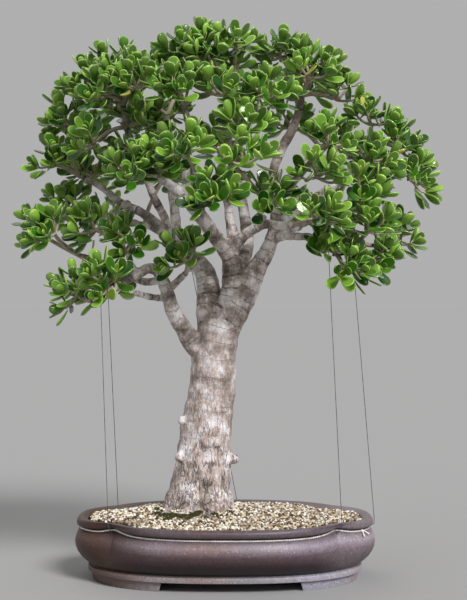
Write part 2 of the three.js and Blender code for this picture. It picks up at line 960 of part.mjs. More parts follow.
function knotWithTails() {
  const at = (inset, height, aside) => {
    const outline = lobedOutline(inset, height);
    const along = outline[TIE_AT.knot + 1].clone().sub(outline[TIE_AT.knot]).normalize();
    return outline[TIE_AT.knot].addScaledVector(along, aside);
  };
  const middle = at(KNOT.inset, STRING.height, 0);
  const ball = new THREE.IcosahedronGeometry(KNOT.radius, 0);
  ball.translate(middle.x, middle.y, middle.z);
  const tails = [-1, 1].map((side) => {
    const end = at(KNOT.tailInset, STRING.height - KNOT.tailDrop, side * KNOT.tailSpread);
    return solid(bentStem([middle, end], [KNOT.tailRadius, KNOT.tailRadius], 4));
  });
  return fuse([solid(ball), ...tails]);
}

function stringLoop() {
  const outer = lobedOutline(STRING.inset, STRING.height);
  const rings = outer.map((point, i) => {
    const before = outer[(i + OUTLINE_POINTS - 1) % OUTLINE_POINTS];
    const after = outer[(i + 1) % OUTLINE_POINTS];
    const along = after.clone().sub(before).normalize();
    return ringRound(point, along, STRING.radius, STRING.sides, new THREE.Vector3(0, 0, 1)).ring;
  });
  const count = rings[0].length;
  const points = rings.flat();
  const faces = [];
  for (let r = 0; r < rings.length; r++) {
    const next = ((r + 1) % rings.length) * count;
    for (let i = 0; i < count; i++) {
      const a = r * count + i;
      const b = r * count + ((i + 1) % count);
      const c = next + i;
      const d = next + ((i + 1) % count);
      faces.push(a, b, d, a, d, c);
    }
  }
  const geometry = new THREE.BufferGeometry().setFromPoints(points);
  geometry.setIndex(faces);
  return solid(geometry);
}

const bonsai = new THREE.Group();
const material = Object.fromEntries(
  Object.entries(COLOUR).map(([name, color]) => [
    name,
    new THREE.MeshStandardMaterial({ color, roughness: 0.6, metalness: name === "wire" ? 0.7 : 0 }),
  ]),
);

const middles = CLUMPS.map(([x, y, z]) => new THREE.Vector3(x, y, z - CLUMP.sag));
const wood = trunk();
const wires = GUY_WIRES.map((wire) => guyWire(wire, wood));
const standing = [wood, ...wires];

bonsai.add(meshFrom("pot", pot(), material.pot));
bonsai.add(meshFrom("gravel_bed", gravelBed(), material.gravel));
bonsai.add(meshFrom("drain_screen_left", drainScreen(-1), material.screen));
bonsai.add(meshFrom("drain_screen_right", drainScreen(1), material.screen));
bonsai.add(meshFrom("trunk", wood, material.bark));
bonsai.add(meshFrom("rim_string", rimString(), material.string));
wires.forEach((wire, i) => {
  bonsai.add(meshFrom("guy_wire_" + (i + 1), wire, material.wire));
});
middles.forEach((middle, i) => {
  const draw = seeded(GROWTH_SEED + SEED_STEP * i);
  const shape = spray(middle, twigTo(middle), draw, standing);
  standing.push(shape);
  bonsai.add(meshFrom("spray_" + String(i + 1).padStart(2, "0"), shape, material.leaf));
});

export default bonsai;
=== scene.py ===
# %% [markdown]
# A jade bonsai: a broad crown of thick, glossy leaves on one leaning trunk, in a lobed oval pot of
# grit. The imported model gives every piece's true size and place, so this script starts from it and
# dresses it. Lengths are written in millimetres and multiplied by MM, because Blender works in metres.

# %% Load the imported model
import math

import bmesh
import bpy
import numpy as np
from mathutils import Matrix, Vector, noise
from mathutils.bvhtree import BVHTree
from mathutils.kdtree import KDTree


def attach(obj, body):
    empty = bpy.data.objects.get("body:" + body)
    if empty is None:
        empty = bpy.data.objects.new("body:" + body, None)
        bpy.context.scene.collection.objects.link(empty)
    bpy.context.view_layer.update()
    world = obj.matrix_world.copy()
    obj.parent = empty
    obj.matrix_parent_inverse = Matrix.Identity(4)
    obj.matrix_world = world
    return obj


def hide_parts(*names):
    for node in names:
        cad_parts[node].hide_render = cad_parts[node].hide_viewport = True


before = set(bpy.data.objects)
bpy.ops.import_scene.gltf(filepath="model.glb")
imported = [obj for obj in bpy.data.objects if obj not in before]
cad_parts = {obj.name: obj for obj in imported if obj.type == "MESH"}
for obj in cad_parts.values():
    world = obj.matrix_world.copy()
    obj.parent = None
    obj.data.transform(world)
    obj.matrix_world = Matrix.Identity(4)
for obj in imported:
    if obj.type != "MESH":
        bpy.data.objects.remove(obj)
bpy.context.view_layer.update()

MM = 0.001


# %% [markdown]
# Operators act on whatever is selected, so each step first makes its own object the only selected
# one. A finished piece keeps its place in its mesh and its object at the origin, so every new shape
# ends with its transform applied.

# %% Helpers for objects
def select_only(*pieces):
    bpy.ops.object.select_all(action="DESELECT")
    for piece in pieces:
        piece.select_set(True)
    bpy.context.view_layer.objects.active = pieces[0]


def fresh(operator, **settings):
    """Adds a primitive, as the only selected object."""
    bpy.ops.object.select_all(action="DESELECT")
    operator(**settings)
    return bpy.context.object


def pick_points(piece, wanted):
    """In edit mode, selects the points whose place is wanted, with the faces between them."""
    mesh = bmesh.from_edit_mesh(piece.data)
    for vertex in mesh.verts:
        vertex.select_set(wanted(vertex.co))
    mesh.select_flush(True)
    bmesh.update_edit_mesh(piece.data)


def apply_place(piece):
    select_only(piece)
    bpy.ops.object.transform_apply(location=True, rotation=True, scale=True)


def join(*pieces):
    select_only(*pieces)
    bpy.ops.object.join()


def finish_modifier(piece, kind, **settings):
    select_only(piece)
    modifier = piece.modifiers.new(kind.title(), kind)
    for name, value in settings.items():
        setattr(modifier, name, value)
    bpy.ops.object.modifier_apply(modifier=modifier.name)


def smooth_by_angle(piece, degrees):
    select_only(piece)
    bpy.ops.object.shade_smooth_by_angle(angle=math.radians(degrees))


def triangles(piece):
    return sum(len(face.vertices) - 2 for face in piece.data.polygons)


def ready(piece, name, material, slot, *nodes):
    """Names the finished piece, gives it its material, and lets it ride on the one body."""
    piece.name = name
    piece.data.name = name
    piece.data.materials.clear()
    piece.data.materials.append(material)
    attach(piece, "root")
    if nodes:
        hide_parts(*nodes)
    print(name, triangles(piece), "triangles")


# %% [markdown]
# A draw that gives the same numbers in every run keeps the plant the same plant. This is the same
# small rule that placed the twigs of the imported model, so the leaves here grow on the same shoots.

# %% Repeatable draws
def seeded(seed):
    state = seed

    def draw():
        nonlocal state
        state = (state * 1664525 + 1013904223) % 2**32
        return state / 2**32

    return draw


def jitter(draw, width):
    return width * (draw() - 0.5)


# %% [markdown]
# Materials are built from nodes. One function adds a node, sets what it is given and links the
# sockets that other nodes feed. Colours are written as sRGB hex values, as a paint chart gives them,
# and turned to the linear numbers that Blender mixes light with. Every pattern lies on Object
# coordinates, and its scale comes from a size in millimetres.

# %% Helpers for materials
def linear(hex_value):
    channels = [int(hex_value[i : i + 2], 16) / 255 for i in (1, 3, 5)]
    return (*[c / 12.92 if c <= 0.04045 else ((c + 0.055) / 1.055) ** 2.4 for c in channels], 1.0)


def feed(tree, node, inputs):
    """Sets a node's inputs, and links those that another node's socket feeds."""
    for name, value in inputs.items():
        if isinstance(value, bpy.types.NodeSocket):
            tree.links.new(value, node.inputs[name])
        else:
            node.inputs[name].default_value = value


def add(tree, kind, inputs=(), out=0, stops=(), **settings):
    """Adds a node with its settings, links and colour stops, and gives one of its outputs."""
    node = tree.nodes.new("ShaderNode" + kind)
    for name, value in settings.items():
        setattr(node, name, value)
    feed(tree, node, dict(inputs))
    for number, (place, value) in enumerate(stops):
        elements = node.color_ramp.elements
        element = elements[number] if number < len(elements) else elements.new(1.0)
        element.position = place
        element.color = linear(value) if isinstance(value, str) else (value, value, value, 1.0)
    return node.outputs[out]


# A colour Mix node's sockets have no names of their own: factor, first, second, and the result.
FACTOR, FIRST, SECOND = 0, 6, 7
MIXED = {"out": 2, "data_type": "RGBA"}
OVERLAID = {"blend_type": "OVERLAY", **MIXED}


def new_material(name):
    material = bpy.data.materials.new(name)
    material.use_nodes = True
    tree = material.node_tree
    return material, tree, tree.nodes["Principled BSDF"], add(tree, "TexCoord", out="Object")


def per_mm(size):
    """The scale that gives a pattern cells of this size, in millimetres, on Object coordinates."""
    return 1 / (size * MM)


# %% [markdown]
# The pot is unglazed purple-brown stoneware, pressed in a mould and fired in reduction: a matt body with a
# fine dark and pale speckle, and pale on the foot band. Higher up, a painted sheen makes the shoulder pale
# and painted shade makes it dark under the belly. The flame left one end browner, and painted shade darkens
# that end while painted light makes the other end paler. Three noises make the flush, the worn grain and
# the speckle, which is drawn at 3 mm, coarser than real, so that it shows.

# %% Stoneware
POT_HEIGHT = 106

# From end to end: the left end browner, as the flame left it, and darker with painted shade, and the right
# end paler with painted light. From and to in millimetres, greatest share, blend and tone.
FLAME_AND_PAINTED_LIGHT = [
    (-120, -215, 1.0, "MULTIPLY", "#b09b8e"), (-120, -215, 0.5, "MIX", "#46281a"),
    (40, 140, 1.0, "OVERLAY", "#cecfd7"), (150, 225, 0.25, "MIX", "#9c9294"),
]


def stoneware():
    material, tree, surface, place = new_material("unglazed_stoneware")
    flush, speckle, grain = [
        add(tree, "TexNoise", {"Vector": place, "Scale": per_mm(size), "Detail": detail})
        for size, detail in ((120, 3.0), (3, 2.0), (9, 5.0))
    ]
    height = add(tree, "SeparateXYZ", {"Vector": place}, "Z")
    level = add(tree, "MapRange", {"Value": height, "From Max": POT_HEIGHT * MM})
    # Tones by height: the pale foot band, painted shade dark under the belly, and a painted sheen pale on
    # the shoulder.
    tones = [
        (0.0, "#b9b3ba"), (0.235, "#b9b3ba"), (0.27, "#1c1215"), (0.42, "#3d2b2f"), (0.58, "#6a565b"),
        (0.72, "#b2a2ab"), (0.83, "#6a595e"), (1.0, "#75656a"),
    ]
    body = add(tree, "ValToRGB", {0: level}, stops=tones)
    browner = add(tree, "ValToRGB", {0: flush}, stops=[(0.36, "#806c60"), (0.56, "#808080")])
    body = add(tree, "Mix", {FACTOR: 0.8, FIRST: body, SECOND: browner}, **OVERLAID)
    across = add(tree, "SeparateXYZ", {"Vector": place}, "X")
    # Painted shade at the left end and painted light at the right end, with the flame's brown at the left.
    for start, end, most, blend, tone in FLAME_AND_PAINTED_LIGHT:
        ends = {"From Min": start * MM, "From Max": end * MM, "To Max": most}
        share = add(tree, "MapRange", {"Value": across, **ends})
        mixing = {FACTOR: share, FIRST: body, SECOND: linear(tone)}
        body = add(tree, "Mix", mixing, blend_type=blend, **MIXED)
    worn = add(tree, "ValToRGB", {0: grain}, stops=[(0.3, 0.4), (0.7, 0.62)])
    dots = add(tree, "ValToRGB", {0: speckle}, stops=[(0.3, 0.1), (0.38, 0.5), (0.61, 0.5), (0.67, 1.0)])
    for share, pattern in ((0.5, worn), (0.65, dots)):
        body = add(tree, "Mix", {FACTOR: share, FIRST: body, SECOND: pattern}, **OVERLAID)
    rough = add(tree, "MapRange", {"Value": grain, "To Min": 0.36, "To Max": 0.56})
    bump = add(tree, "Bump", {"Height": speckle, "Strength": 0.25, "Distance": 0.3 * MM})
    feed(tree, surface, {"Base Color": body, "Roughness": rough, "Normal": bump})
    return material


STONEWARE = stoneware()


# %% [markdown]
# The pot's outline is two rounded oblongs, one from front to back and one from end to end, that cross
# in four notches. Its stations are spread evenly over each lobe. An inset gives the same outline
# further in, and a depth from 0 to 1 lets the notches fade into one plain oval, so that one function
# serves the wall, the lip, the feet, the string and the edge of the grit. At each notch the lip's
# lower edge arches up a little, further along the long side than round the end, and the string with it.

# %% Outline of the pot
# Rounded oblongs as half length, half depth and the power of the curve: 2 is an ellipse.
LONG_LOBE, END_LOBE = (208.4, 187, 2.6), (258, 120.4, 3.2)
OVAL = (258, 187, 2.4)
ARCH = {"rise": 5, "from": 78, "full": 86, "fades": 93, "to": 99, "long": 30, "end": 15}
LONG_STEPS, END_STEPS = 72, 56
STATIONS = 2 * (LONG_STEPS + END_STEPS)
HALVINGS = 30


def oblong_reach(oblong, inset, turn):
    """Distance from the middle to a rounded oblong's edge, in millimetres."""
    half_length, half_depth, power = oblong
    along = abs(math.cos(turn)) / (half_length - inset)
    across = abs(math.sin(turn)) / (half_depth - inset)
    return (along**power + across**power) ** (-1 / power)


def lobed_reach(inset, turn):
    return max(oblong_reach(lobe, inset, turn) for lobe in (LONG_LOBE, END_LOBE))


def notch_turn(inset):
    """The turn at which the two lobes cross, found by halving a quarter turn."""
    low, high = 0.0, math.pi / 2
    for _ in range(HALVINGS):
        turn = (low + high) / 2
        if oblong_reach(END_LOBE, inset, turn) > oblong_reach(LONG_LOBE, inset, turn):
            low = turn
        else:
            high = turn
    return low


def outline(inset, height, depth=1.0):
    """Points round the pot in metres, anticlockwise from the front left notch."""
    notch = notch_turn(inset)
    rising = (height - ARCH["from"]) / (ARCH["full"] - ARCH["from"])
    falling = (ARCH["to"] - height) / (ARCH["to"] - ARCH["fades"])
    edge = min(max(rising, 0), max(falling, 0), 1)
    points = []
    for start, end, steps in (
        (notch - math.pi, -notch, LONG_STEPS),
        (-notch, notch, END_STEPS),
        (notch, math.pi - notch, LONG_STEPS),
        (math.pi - notch, math.pi + notch, END_STEPS),
    ):
        for i in range(steps):
            turn = start + (end - start) * i / steps
            reach = oblong_reach(OVAL, inset, turn) * (1 - depth) + lobed_reach(inset, turn) * depth
            aside = (abs(math.sin(turn)) - math.sin(notch)) * reach
            aside /= ARCH["long"] if aside > 0 else ARCH["end"]
            arched = height + ARCH["rise"] * edge * math.exp(-aside * aside)
            points.append(Vector((reach * math.cos(turn), reach * math.sin(turn), arched)) * MM)
    return points


print("notches", round(math.degrees(notch_turn(0)), 1), "degrees off the pot's long axis")


# %% [markdown]
# The wall is one skin that goes up the outside, over the rounded lip and down the inside. It grows
# ring by ring: a disc with a station for each point of the outline is extruded again and again, and
# each new ring is set to the outline at its own inset and height. Each station's number travels with
# its vertex through the extrusions.

# %% Pot wall
POT_FLOOR = 16
INNER_FLOOR = 30

# The profile as (inset, height), and a depth of the notches where it isn't 0 or 1.
BAND = [(21.4, POT_FLOOR), (20.3, 16.6), (20, 17.8), (20, 23.4), (20.5, 24.7), (22, 25.6), (24.2, 26.1)]
BELLY = [
    (25, 27.5, 0.02), (19, 31, 0.1), (13, 35.6, 0.25), (7, 41.5, 0.48), (2.2, 48.5, 0.72),
    (-0.8, 56, 0.9), (-2, 64, 1),
]
SHOULDER = [(-1.2, 71), (1, 78), (4, 84), (7.6, 86.6), (9.6, 87.4), (10, 88.6), (9.8, 90), (8.4, 91.1)]
LIP = [(5.6, 91.8), (3, 92.4), (1.5, 93.8), (1, 96), (1, 99)]
CREST = [
    (1.6, 101.2, 0.96), (3, 103, 0.85), (5.4, 104.8, 0.68), (8, 105.6, 0.58), (11, 105.5, 0.6),
    (14.5, 104.4, 0.75), (18, 102.7, 0.92), (20, 101, 1),
]
INSIDE = [(20, 56), (23, 44), (31, 34), (44, INNER_FLOOR)]


def wall_profile():
    """(inset, height, depth of the notches) up the outside, over the lip and down inside."""
    plain = [(*level, 0) for level in BAND]
    neck = [(*level, 1) for level in SHOULDER + LIP]
    return plain + BELLY + neck + CREST + [(*level, 1) for level in INSIDE]


def lobed_solid(levels):
    """A closed solid from rings of the outline, one for each (inset, height, depth) from its base."""
    radius = OVAL[0] * MM
    piece = fresh(bpy.ops.mesh.primitive_circle_add, vertices=STATIONS, radius=radius, fill_type="NGON")
    piece.data.attributes.new("station", "INT", "POINT").data.foreach_set("value", range(STATIONS))
    bpy.ops.object.mode_set(mode="EDIT")
    bpy.ops.mesh.select_all(action="SELECT")
    for number, level in enumerate(levels):
        if number:
            bpy.ops.mesh.extrude_region_move()
        mesh = bmesh.from_edit_mesh(piece.data)
        station = mesh.verts.layers.int["station"]
        ring = outline(*level)
        for vertex in mesh.verts:
            if vertex.select:
                vertex.co = ring[vertex[station]]
        bmesh.update_edit_mesh(piece.data)
    bpy.ops.mesh.select_all(action="SELECT")
    bpy.ops.mesh.normals_make_consistent(inside=False)
    bpy.ops.object.mode_set(mode="OBJECT")
    return piece


wall = lobed_solid(wall_profile())
print("pot wall", triangles(wall), "triangles")


# %% [markdown]
# Two feet carry the pot: a band that follows the outline and is cut away in front and behind, a little
# right of the middle, with undercut ends. The band is one extruded solid less a smaller one, and a
# block that widens downwards cuts the gap with a Boolean, as a wire would cut the clay. The drain holes
# are cut likewise, and a small bevel rounds the edges as fingers would.

# %% Feet and drain holes
FOOT = {"top": 26, "bottom": 28, "inner": 52, "gap": 229, "undercut": 5, "aside": 10, "edge": 1.2}
DRAIN = {"radius": 14, "x": 95}


def gap_cutter():
    """A block through the pot's foot from front to back, wider at its base."""
    middle = (FOOT["aside"] * MM, 0, (POT_FLOOR / 2 - 1) * MM)
    block = fresh(bpy.ops.mesh.primitive_cube_add, size=1, location=middle)
    block.scale = (FOOT["gap"] * MM, 2 * OVAL[0] * MM, (POT_FLOOR + 2) * MM)
    apply_place(block)
    bpy.ops.object.mode_set(mode="EDIT")
    pick_points(block, lambda place: place.z < 0)
    widened = 1 + 2 * FOOT["undercut"] / FOOT["gap"]
    bpy.ops.transform.resize(value=(widened, 1, 1), center_override=(FOOT["aside"] * MM, 0, 0))
    bpy.ops.object.mode_set(mode="OBJECT")
    return block


def subtract(piece, cutter):
    finish_modifier(piece, "BOOLEAN", operation="DIFFERENCE", solver="EXACT", object=cutter)
    bpy.data.objects.remove(cutter)


feet = lobed_solid([(FOOT["bottom"], 0, 0), (FOOT["top"], POT_FLOOR + 0.5, 0)])
subtract(feet, lobed_solid([(FOOT["inner"], -1, 0), (FOOT["inner"], POT_FLOOR + 2, 0)]))
subtract(feet, gap_cutter())
finish_modifier(feet, "BEVEL", width=FOOT["edge"] * MM, segments=2, limit_method="ANGLE")
for side in (-1, 1):
    drill = fresh(
        bpy.ops.mesh.primitive_cylinder_add,
        vertices=32,
        radius=DRAIN["radius"] * MM,
        depth=(INNER_FLOOR - POT_FLOOR + 4) * MM,
        location=(side * DRAIN["x"] * MM, 0, (INNER_FLOOR + POT_FLOOR) / 2 * MM),
    )
    subtract(wall, drill)
join(wall, feet)
smooth_by_angle(wall, 38)
ready(wall, "pot_body", STONEWARE, "stoneware", "pot")


# %% [markdown]
# The wood is one growth: the root flare, the leaning trunk and all limbs. Each limb is written as a
# few points with a radius, as one would sketch a tree from its joints, and a smooth curve runs
# through them. The first point of a limb lies inside the wood that bears it. The points are those of
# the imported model, so the dressed limbs lie where its solids lie.

# %% Points of the trunk and limbs
TRUNK = [
    (-45, 0, 66, 60), (-45, 0, 117, 60), (-45, 0, 125, 58.5), (-45, 0, 144, 54), (-42, 0, 160, 51.5),
    (-38, 0, 192, 48.5), (-37, 0, 215, 46.7), (-32, 0, 265, 44.2), (-25, 0, 305, 41.6),
    (-21, 0, 354, 40), (-18, 0, 389, 39), (-13, 0, 418, 37), (-4, 0, 446, 32),
]
LIMBS = {
    "centre": [
        (-4, 0, 440, 33), (14, 0, 475, 29), (17, -2, 501, 24), (13, -3, 528, 18), (10, -4, 555, 15),
        (14, -6, 590, 11), (9, -10, 616, 8.5), (5, -16, 645, 7),
    ],
    "centre_top": [
        (6, -14, 640, 7), (-4, 2, 690, 7), (-2, 14, 745, 6.5), (10, 12, 805, 6), (14, -2, 862, 5),
    ],
    "centre_front": [(5, -16, 645, 7), (4, -60, 668, 6.5), (2, -110, 690, 6), (12, -150, 700, 5)],
    "centre_right": [
        (14, -4, 572, 11), (30, -14, 588, 9), (47, -24, 601, 9), (69, -40, 610, 8), (94, -70, 606, 7),
        (116, -100, 606, 6),
    ],
    "centre_back": [
        (18, 4, 530, 14), (37, 26, 565, 12), (39, 46, 598, 11), (34, 74, 640, 9.5), (26, 112, 690, 8),
        (10, 150, 735, 6),
    ],
    "low_left": [
        (-18, 0, 385, 28), (-51, -8, 400, 19), (-71, -14, 428, 15), (-87, -20, 454, 13.5),
        (-97, -27, 482, 12), (-104, -32, 506, 11), (-116, -38, 529, 10), (-132, -45, 534, 9),
        (-149, -52, 523, 8), (-172, -61, 510, 7), (-200, -70, 492, 6), (-226, -80, 478, 5),
    ],
    "low_left_front": [(-97, -27, 482, 6), (-128, -58, 485, 5.5), (-153, -86, 492, 5)],
    "low_left_back": [
        (-108, -34, 514, 7), (-142, 6, 512, 6.5), (-175, 42, 525, 6.5), (-216, 66, 545, 6),
        (-262, 76, 560, 5.5),
    ],
    "low_left_up": [(-149, -52, 522, 7), (-160, -48, 538, 6), (-168, -36, 562, 5)],
    "rosette_twig": [(-100, -30, 494, 7), (-80, -58, 513, 6), (-66, -84, 525, 5.5)],
    "left": [
        (-12, 2, 410, 31), (-26, 10, 448, 24), (-28, 18, 480, 22), (-30, 24, 506, 20), (-38, 30, 533, 18),
        (-62, 36, 556, 16), (-91, 42, 580, 13), (-114, 48, 608, 10.5), (-150, 54, 637, 8),
        (-186, 58, 654, 7), (-224, 60, 684, 6), (-262, 56, 704, 5),
    ],
    "left_low": [(-160, 55, 642, 6.5), (-193, 84, 636, 6), (-226, 108, 632, 5.5)],
    "left_back": [(-66, 38, 560, 13), (-92, 86, 588, 10), (-124, 132, 610, 8), (-150, 168, 622, 6)],
    "left_up": [
        (-104, 46, 596, 9), (-106, 28, 622, 7.5), (-124, 8, 659, 7), (-136, -4, 690, 6.5),
        (-152, -14, 730, 6), (-170, -26, 778, 5.5), (-176, -34, 818, 5),
    ],
    "left_up_back": [
        (-86, 42, 574, 11), (-88, 62, 611, 9.5), (-92, 80, 650, 8.5), (-102, 96, 700, 7.5),
        (-112, 112, 760, 6.5), (-106, 118, 820, 5.5),
    ],
    "diagonal": [
        (11, -4, 548, 14), (-3, -15, 570, 13), (-23, -26, 598, 12.5), (-41, -34, 623, 12),
        (-60, -42, 645, 11), (-78, -50, 663, 9.5), (-100, -66, 680, 7.5), (-124, -90, 690, 6),
    ],
    "diagonal_up": [
        (-60, -42, 645, 9), (-66, -52, 680, 8), (-66, -58, 725, 7), (-62, -58, 773, 6),
        (-70, -60, 812, 5.5),
    ],
    "diagonal_front": [(-43, -36, 625, 9), (-42, -78, 652, 7), (-46, -118, 680, 6), (-50, -145, 695, 5)],
    "right": [
        (-2, 0, 442, 33), (16, -1, 468, 30), (33, -2, 493, 25), (45, -4, 516, 21), (57, -5, 538, 17),
        (71, -5, 560, 14), (81, -4, 584, 12), (87, -1, 610, 10.5), (90, 4, 640, 9.5), (88, 9, 668, 9),
        (84, 14, 700, 8.5), (99, 22, 745, 8.5), (118, 28, 779, 8), (130, 34, 812, 7), (136, 36, 842, 6),
    ],
    "right_low_front": [
        (84, -5, 588, 9), (105, -30, 590, 7), (126, -58, 588, 6.5), (150, -86, 584, 6), (182, -103, 563, 5),
    ],
    "right_low_back": [(80, 0, 582, 9), (108, 30, 600, 8), (136, 78, 616, 7), (162, 122, 628, 6)],
    "right_mid": [
        (86, 0, 606, 9), (120, 12, 634, 8.5), (165, 24, 664, 8), (204, 32, 690, 7.5), (232, 34, 724, 6.5),
        (252, 30, 758, 5.5),
    ],
    "right_mid_low": [(168, 24, 664, 7), (194, 6, 634, 6.5), (220, -16, 600, 6), (233, -34, 578, 5)],
    "right_front": [(90, 4, 650, 8), (112, -28, 676, 7), (134, -66, 700, 6), (148, -86, 716, 5)],
    "right_back": [(90, 6, 650, 8.5), (112, 44, 692, 8), (146, 84, 728, 7), (172, 118, 762, 6)],
    "back_mid": [(38, 44, 594, 9), (58, 98, 618, 8), (72, 152, 634, 6)],
}

# Thin roots on the grit in front, from inside the trunk's foot.
SURFACE_ROOTS = [
    [
        (-30, -44, 124, 9), (-22, -64, 120, 5.5), (-32, -84, 115.5, 4.5), (-50, -98, 112, 3.6),
        (-66, -110, 108.5, 2.6),
    ],
    [(-34, -80, 116, 4), (-22, -94, 113, 3.4), (-8, -102, 111, 2.6)],
    [(-62, -45, 122, 9), (-72, -64, 118, 5.5), (-80, -80, 114, 4)],
    [(-84, -36, 121, 8), (-100, -50, 116, 5), (-110, -66, 112, 3.5)],
]

# Swellings all round the foot, where thick roots start: turn in half turns, reach, radius, height.
SWELLINGS = [
    (-0.92, 49, 15, 140), (-0.74, 50, 13, 133), (-0.58, 50, 16, 143), (-0.4, 50, 13, 136),
    (-0.22, 49, 15, 140), (-0.02, 49, 14, 137), (0.2, 49, 15, 142), (0.42, 50, 14, 138),
    (0.63, 49, 15, 140), (0.84, 50, 14, 136),
]
SWELLING_FOOT = 106


def swelling(half_turns, reach, radius, height):
    """Three points down the flare: where it leaves the trunk, where it is thickest, and in the bed."""
    out = Vector((math.cos(half_turns * math.pi), math.sin(half_turns * math.pi), 0))
    foot_x = TRUNK[0][0]
    top = (reach - 12, height + 16, radius - 3)
    middle = (reach - 3, height - 4, radius)
    foot = (reach + 3, SWELLING_FOOT, radius - 2)
    return [(foot_x + out.x * r, out.y * r, level, thick) for r, level, thick in (top, middle, foot)]


ROOTS = SURFACE_ROOTS + [swelling(*lobe) for lobe in SWELLINGS]

# Knobs left on the trunk by shed limbs, as (x, y, z, radius).
KNOBS = [
    (-75, -14, 271, 8), (-32, -46, 233, 9), (-13, -42, 234, 8), (-77, -26, 208, 10), (14, -12, 204, 10),
    (-29, -49, 170, 9), (-2, -34, 291, 7),
]


# %% [markdown]
# A centripetal Catmull-Rom curve passes through its points without loops or overshoot, also where the
# points are unevenly spaced, which suits a limb drawn as a few points.

# %% A smooth curve through points
ROUGH_STEPS = 200


def curve_through(points):
    """A function from a share of the curve, 0 to 1, to a place in metres."""
    knots = [Vector(point[:3]) * MM for point in points]
    ends = (2 * knots[0] - knots[1], 2 * knots[-1] - knots[-2])
    knots = [ends[0], *knots, ends[1]]
    spans = len(points) - 1

    def at(share):
        span = min(int(share * spans), spans - 1)
        t = share * spans - span
        p0, p1, p2, p3 = knots[span : span + 4]
        d0, d1, d2 = (max((b - a).length, 1e-9) ** 0.5 for a, b in ((p0, p1), (p1, p2), (p2, p3)))
        out = ((p1 - p0) / d0 - (p2 - p0) / (d0 + d1) + (p2 - p1) / d1) * d1
        into = ((p2 - p1) / d1 - (p3 - p1) / (d1 + d2) + (p3 - p2) / d2) * d1
        bend = -3 * p1 + 3 * p2 - 2 * out - into
        return p1 + out * t + bend * t**2 + (2 * p1 - 2 * p2 + out + into) * t**3

    return at


def radius_along(points, share):
    spans = len(points) - 1
    span = min(int(share * spans), spans - 1)
    t = share * spans - span
    return (points[span][3] * (1 - t) + points[span + 1][3] * t) * MM


def samples(points, step=5):
    """(place, radius, distance along) every few millimetres of a limb."""
    at = curve_through(points)
    rough = [at(i / ROUGH_STEPS) for i in range(ROUGH_STEPS + 1)]
    length = sum((b - a).length for a, b in zip(rough, rough[1:]))
    count = max(4, round(length / (step * MM)))
    shares = [i / count for i in range(count + 1)]
    return [(at(share), radius_along(points, share), length * share) for share in shares]


# %% [markdown]
# Each limb becomes a curve whose bevel follows its radii. All the curves are turned into one mesh
# and a voxel remesh melts them into one skin with no inner walls, a little rounded where limbs part,
# as living wood is. A short smoothing softens the steps of the voxels.

# %% Rough wood
WOOD_VOXEL = 2.5 * MM
WOOD_ALLOWANCE = 0.35 * MM


def stem_curve(name, stems, sides_level, allowance=0.0):
    """One curve object with a spline for each stem, given as (place, radius, ...) samples."""
    data = bpy.data.curves.new(name, "CURVE")
    data.dimensions = "3D"
    data.bevel_depth = 1.0
    data.bevel_resolution = sides_level
    data.use_fill_caps = True
    for stem in stems:
        spline = data.splines.new("POLY")
        spline.points.add(len(stem) - 1)
        for point, (place, radius, *_) in zip(spline.points, stem):
            point.co = (*place, 1.0)
            point.radius = radius + allowance
    piece = bpy.data.objects.new(name, data)
    bpy.context.collection.objects.link(piece)
    return piece


def as_mesh(piece):
    select_only(piece)
    bpy.ops.object.convert(target="MESH")
    return bpy.context.object


stems = [samples(points) for points in [TRUNK, *LIMBS.values(), *ROOTS]]
wood = as_mesh(stem_curve("wood", stems, 6, WOOD_ALLOWANCE))
knobs = []
for *place, radius in KNOBS:
    place = Vector(place) * MM
    size = {"radius": radius * MM, "location": place}
    knobs.append(fresh(bpy.ops.mesh.primitive_ico_sphere_add, subdivisions=3, **size))
    apply_place(knobs[-1])
join(wood, *knobs)
finish_modifier(wood, "REMESH", mode="VOXEL", voxel_size=WOOD_VOXEL)
finish_modifier(wood, "SMOOTH", factor=0.5, iterations=4)
print("wood", triangles(wood), "triangles after the remesh")


# %% [markdown]
# A jade plant's bark carries a ring at each place where a pair of leaves grew. The rings run round
# each limb, so the material needs to know how far along its limb each point lies. The nearest sample
# of the curves tells that, and the answer is stored on the mesh, with the limb's girth. The same
# numbers swell the wood a little between rings, and lumps of low noise keep the trunk from being a
# turned column.

# %% Bark relief
RING_SPACING = 24
RING_SWELL = 0.55
LUMP = {"size": 42, "height": 1.7}
FOLD = {"size": 11, "height": 0.6, "squeeze": 0.3}
CRACK = {"size": 7, "height": 0.7, "from": 330, "to": 150, "squeeze": 0.16, "sharpness": 7}
THICK_GIRTH, OLD_GIRTH = 40 * MM, 50 * MM
NEAREST = 8
LIMB_PHASE = 0.37


def tree_of_samples(stems):
    flat = [(*sample, index) for index, stem in enumerate(stems) for sample in stem]
    tree = KDTree(len(flat))
    for number, (place, *_) in enumerate(flat):
        tree.insert(place, number)
    tree.balance()
    return tree, flat


def stretched_noise(place, size, squeeze=1.0):
    """Noise whose cells are this size in millimetres, and longer up and down where squeezed."""
    return noise.noise(Vector((place.x, place.y, place.z * squeeze)) * per_mm(size))


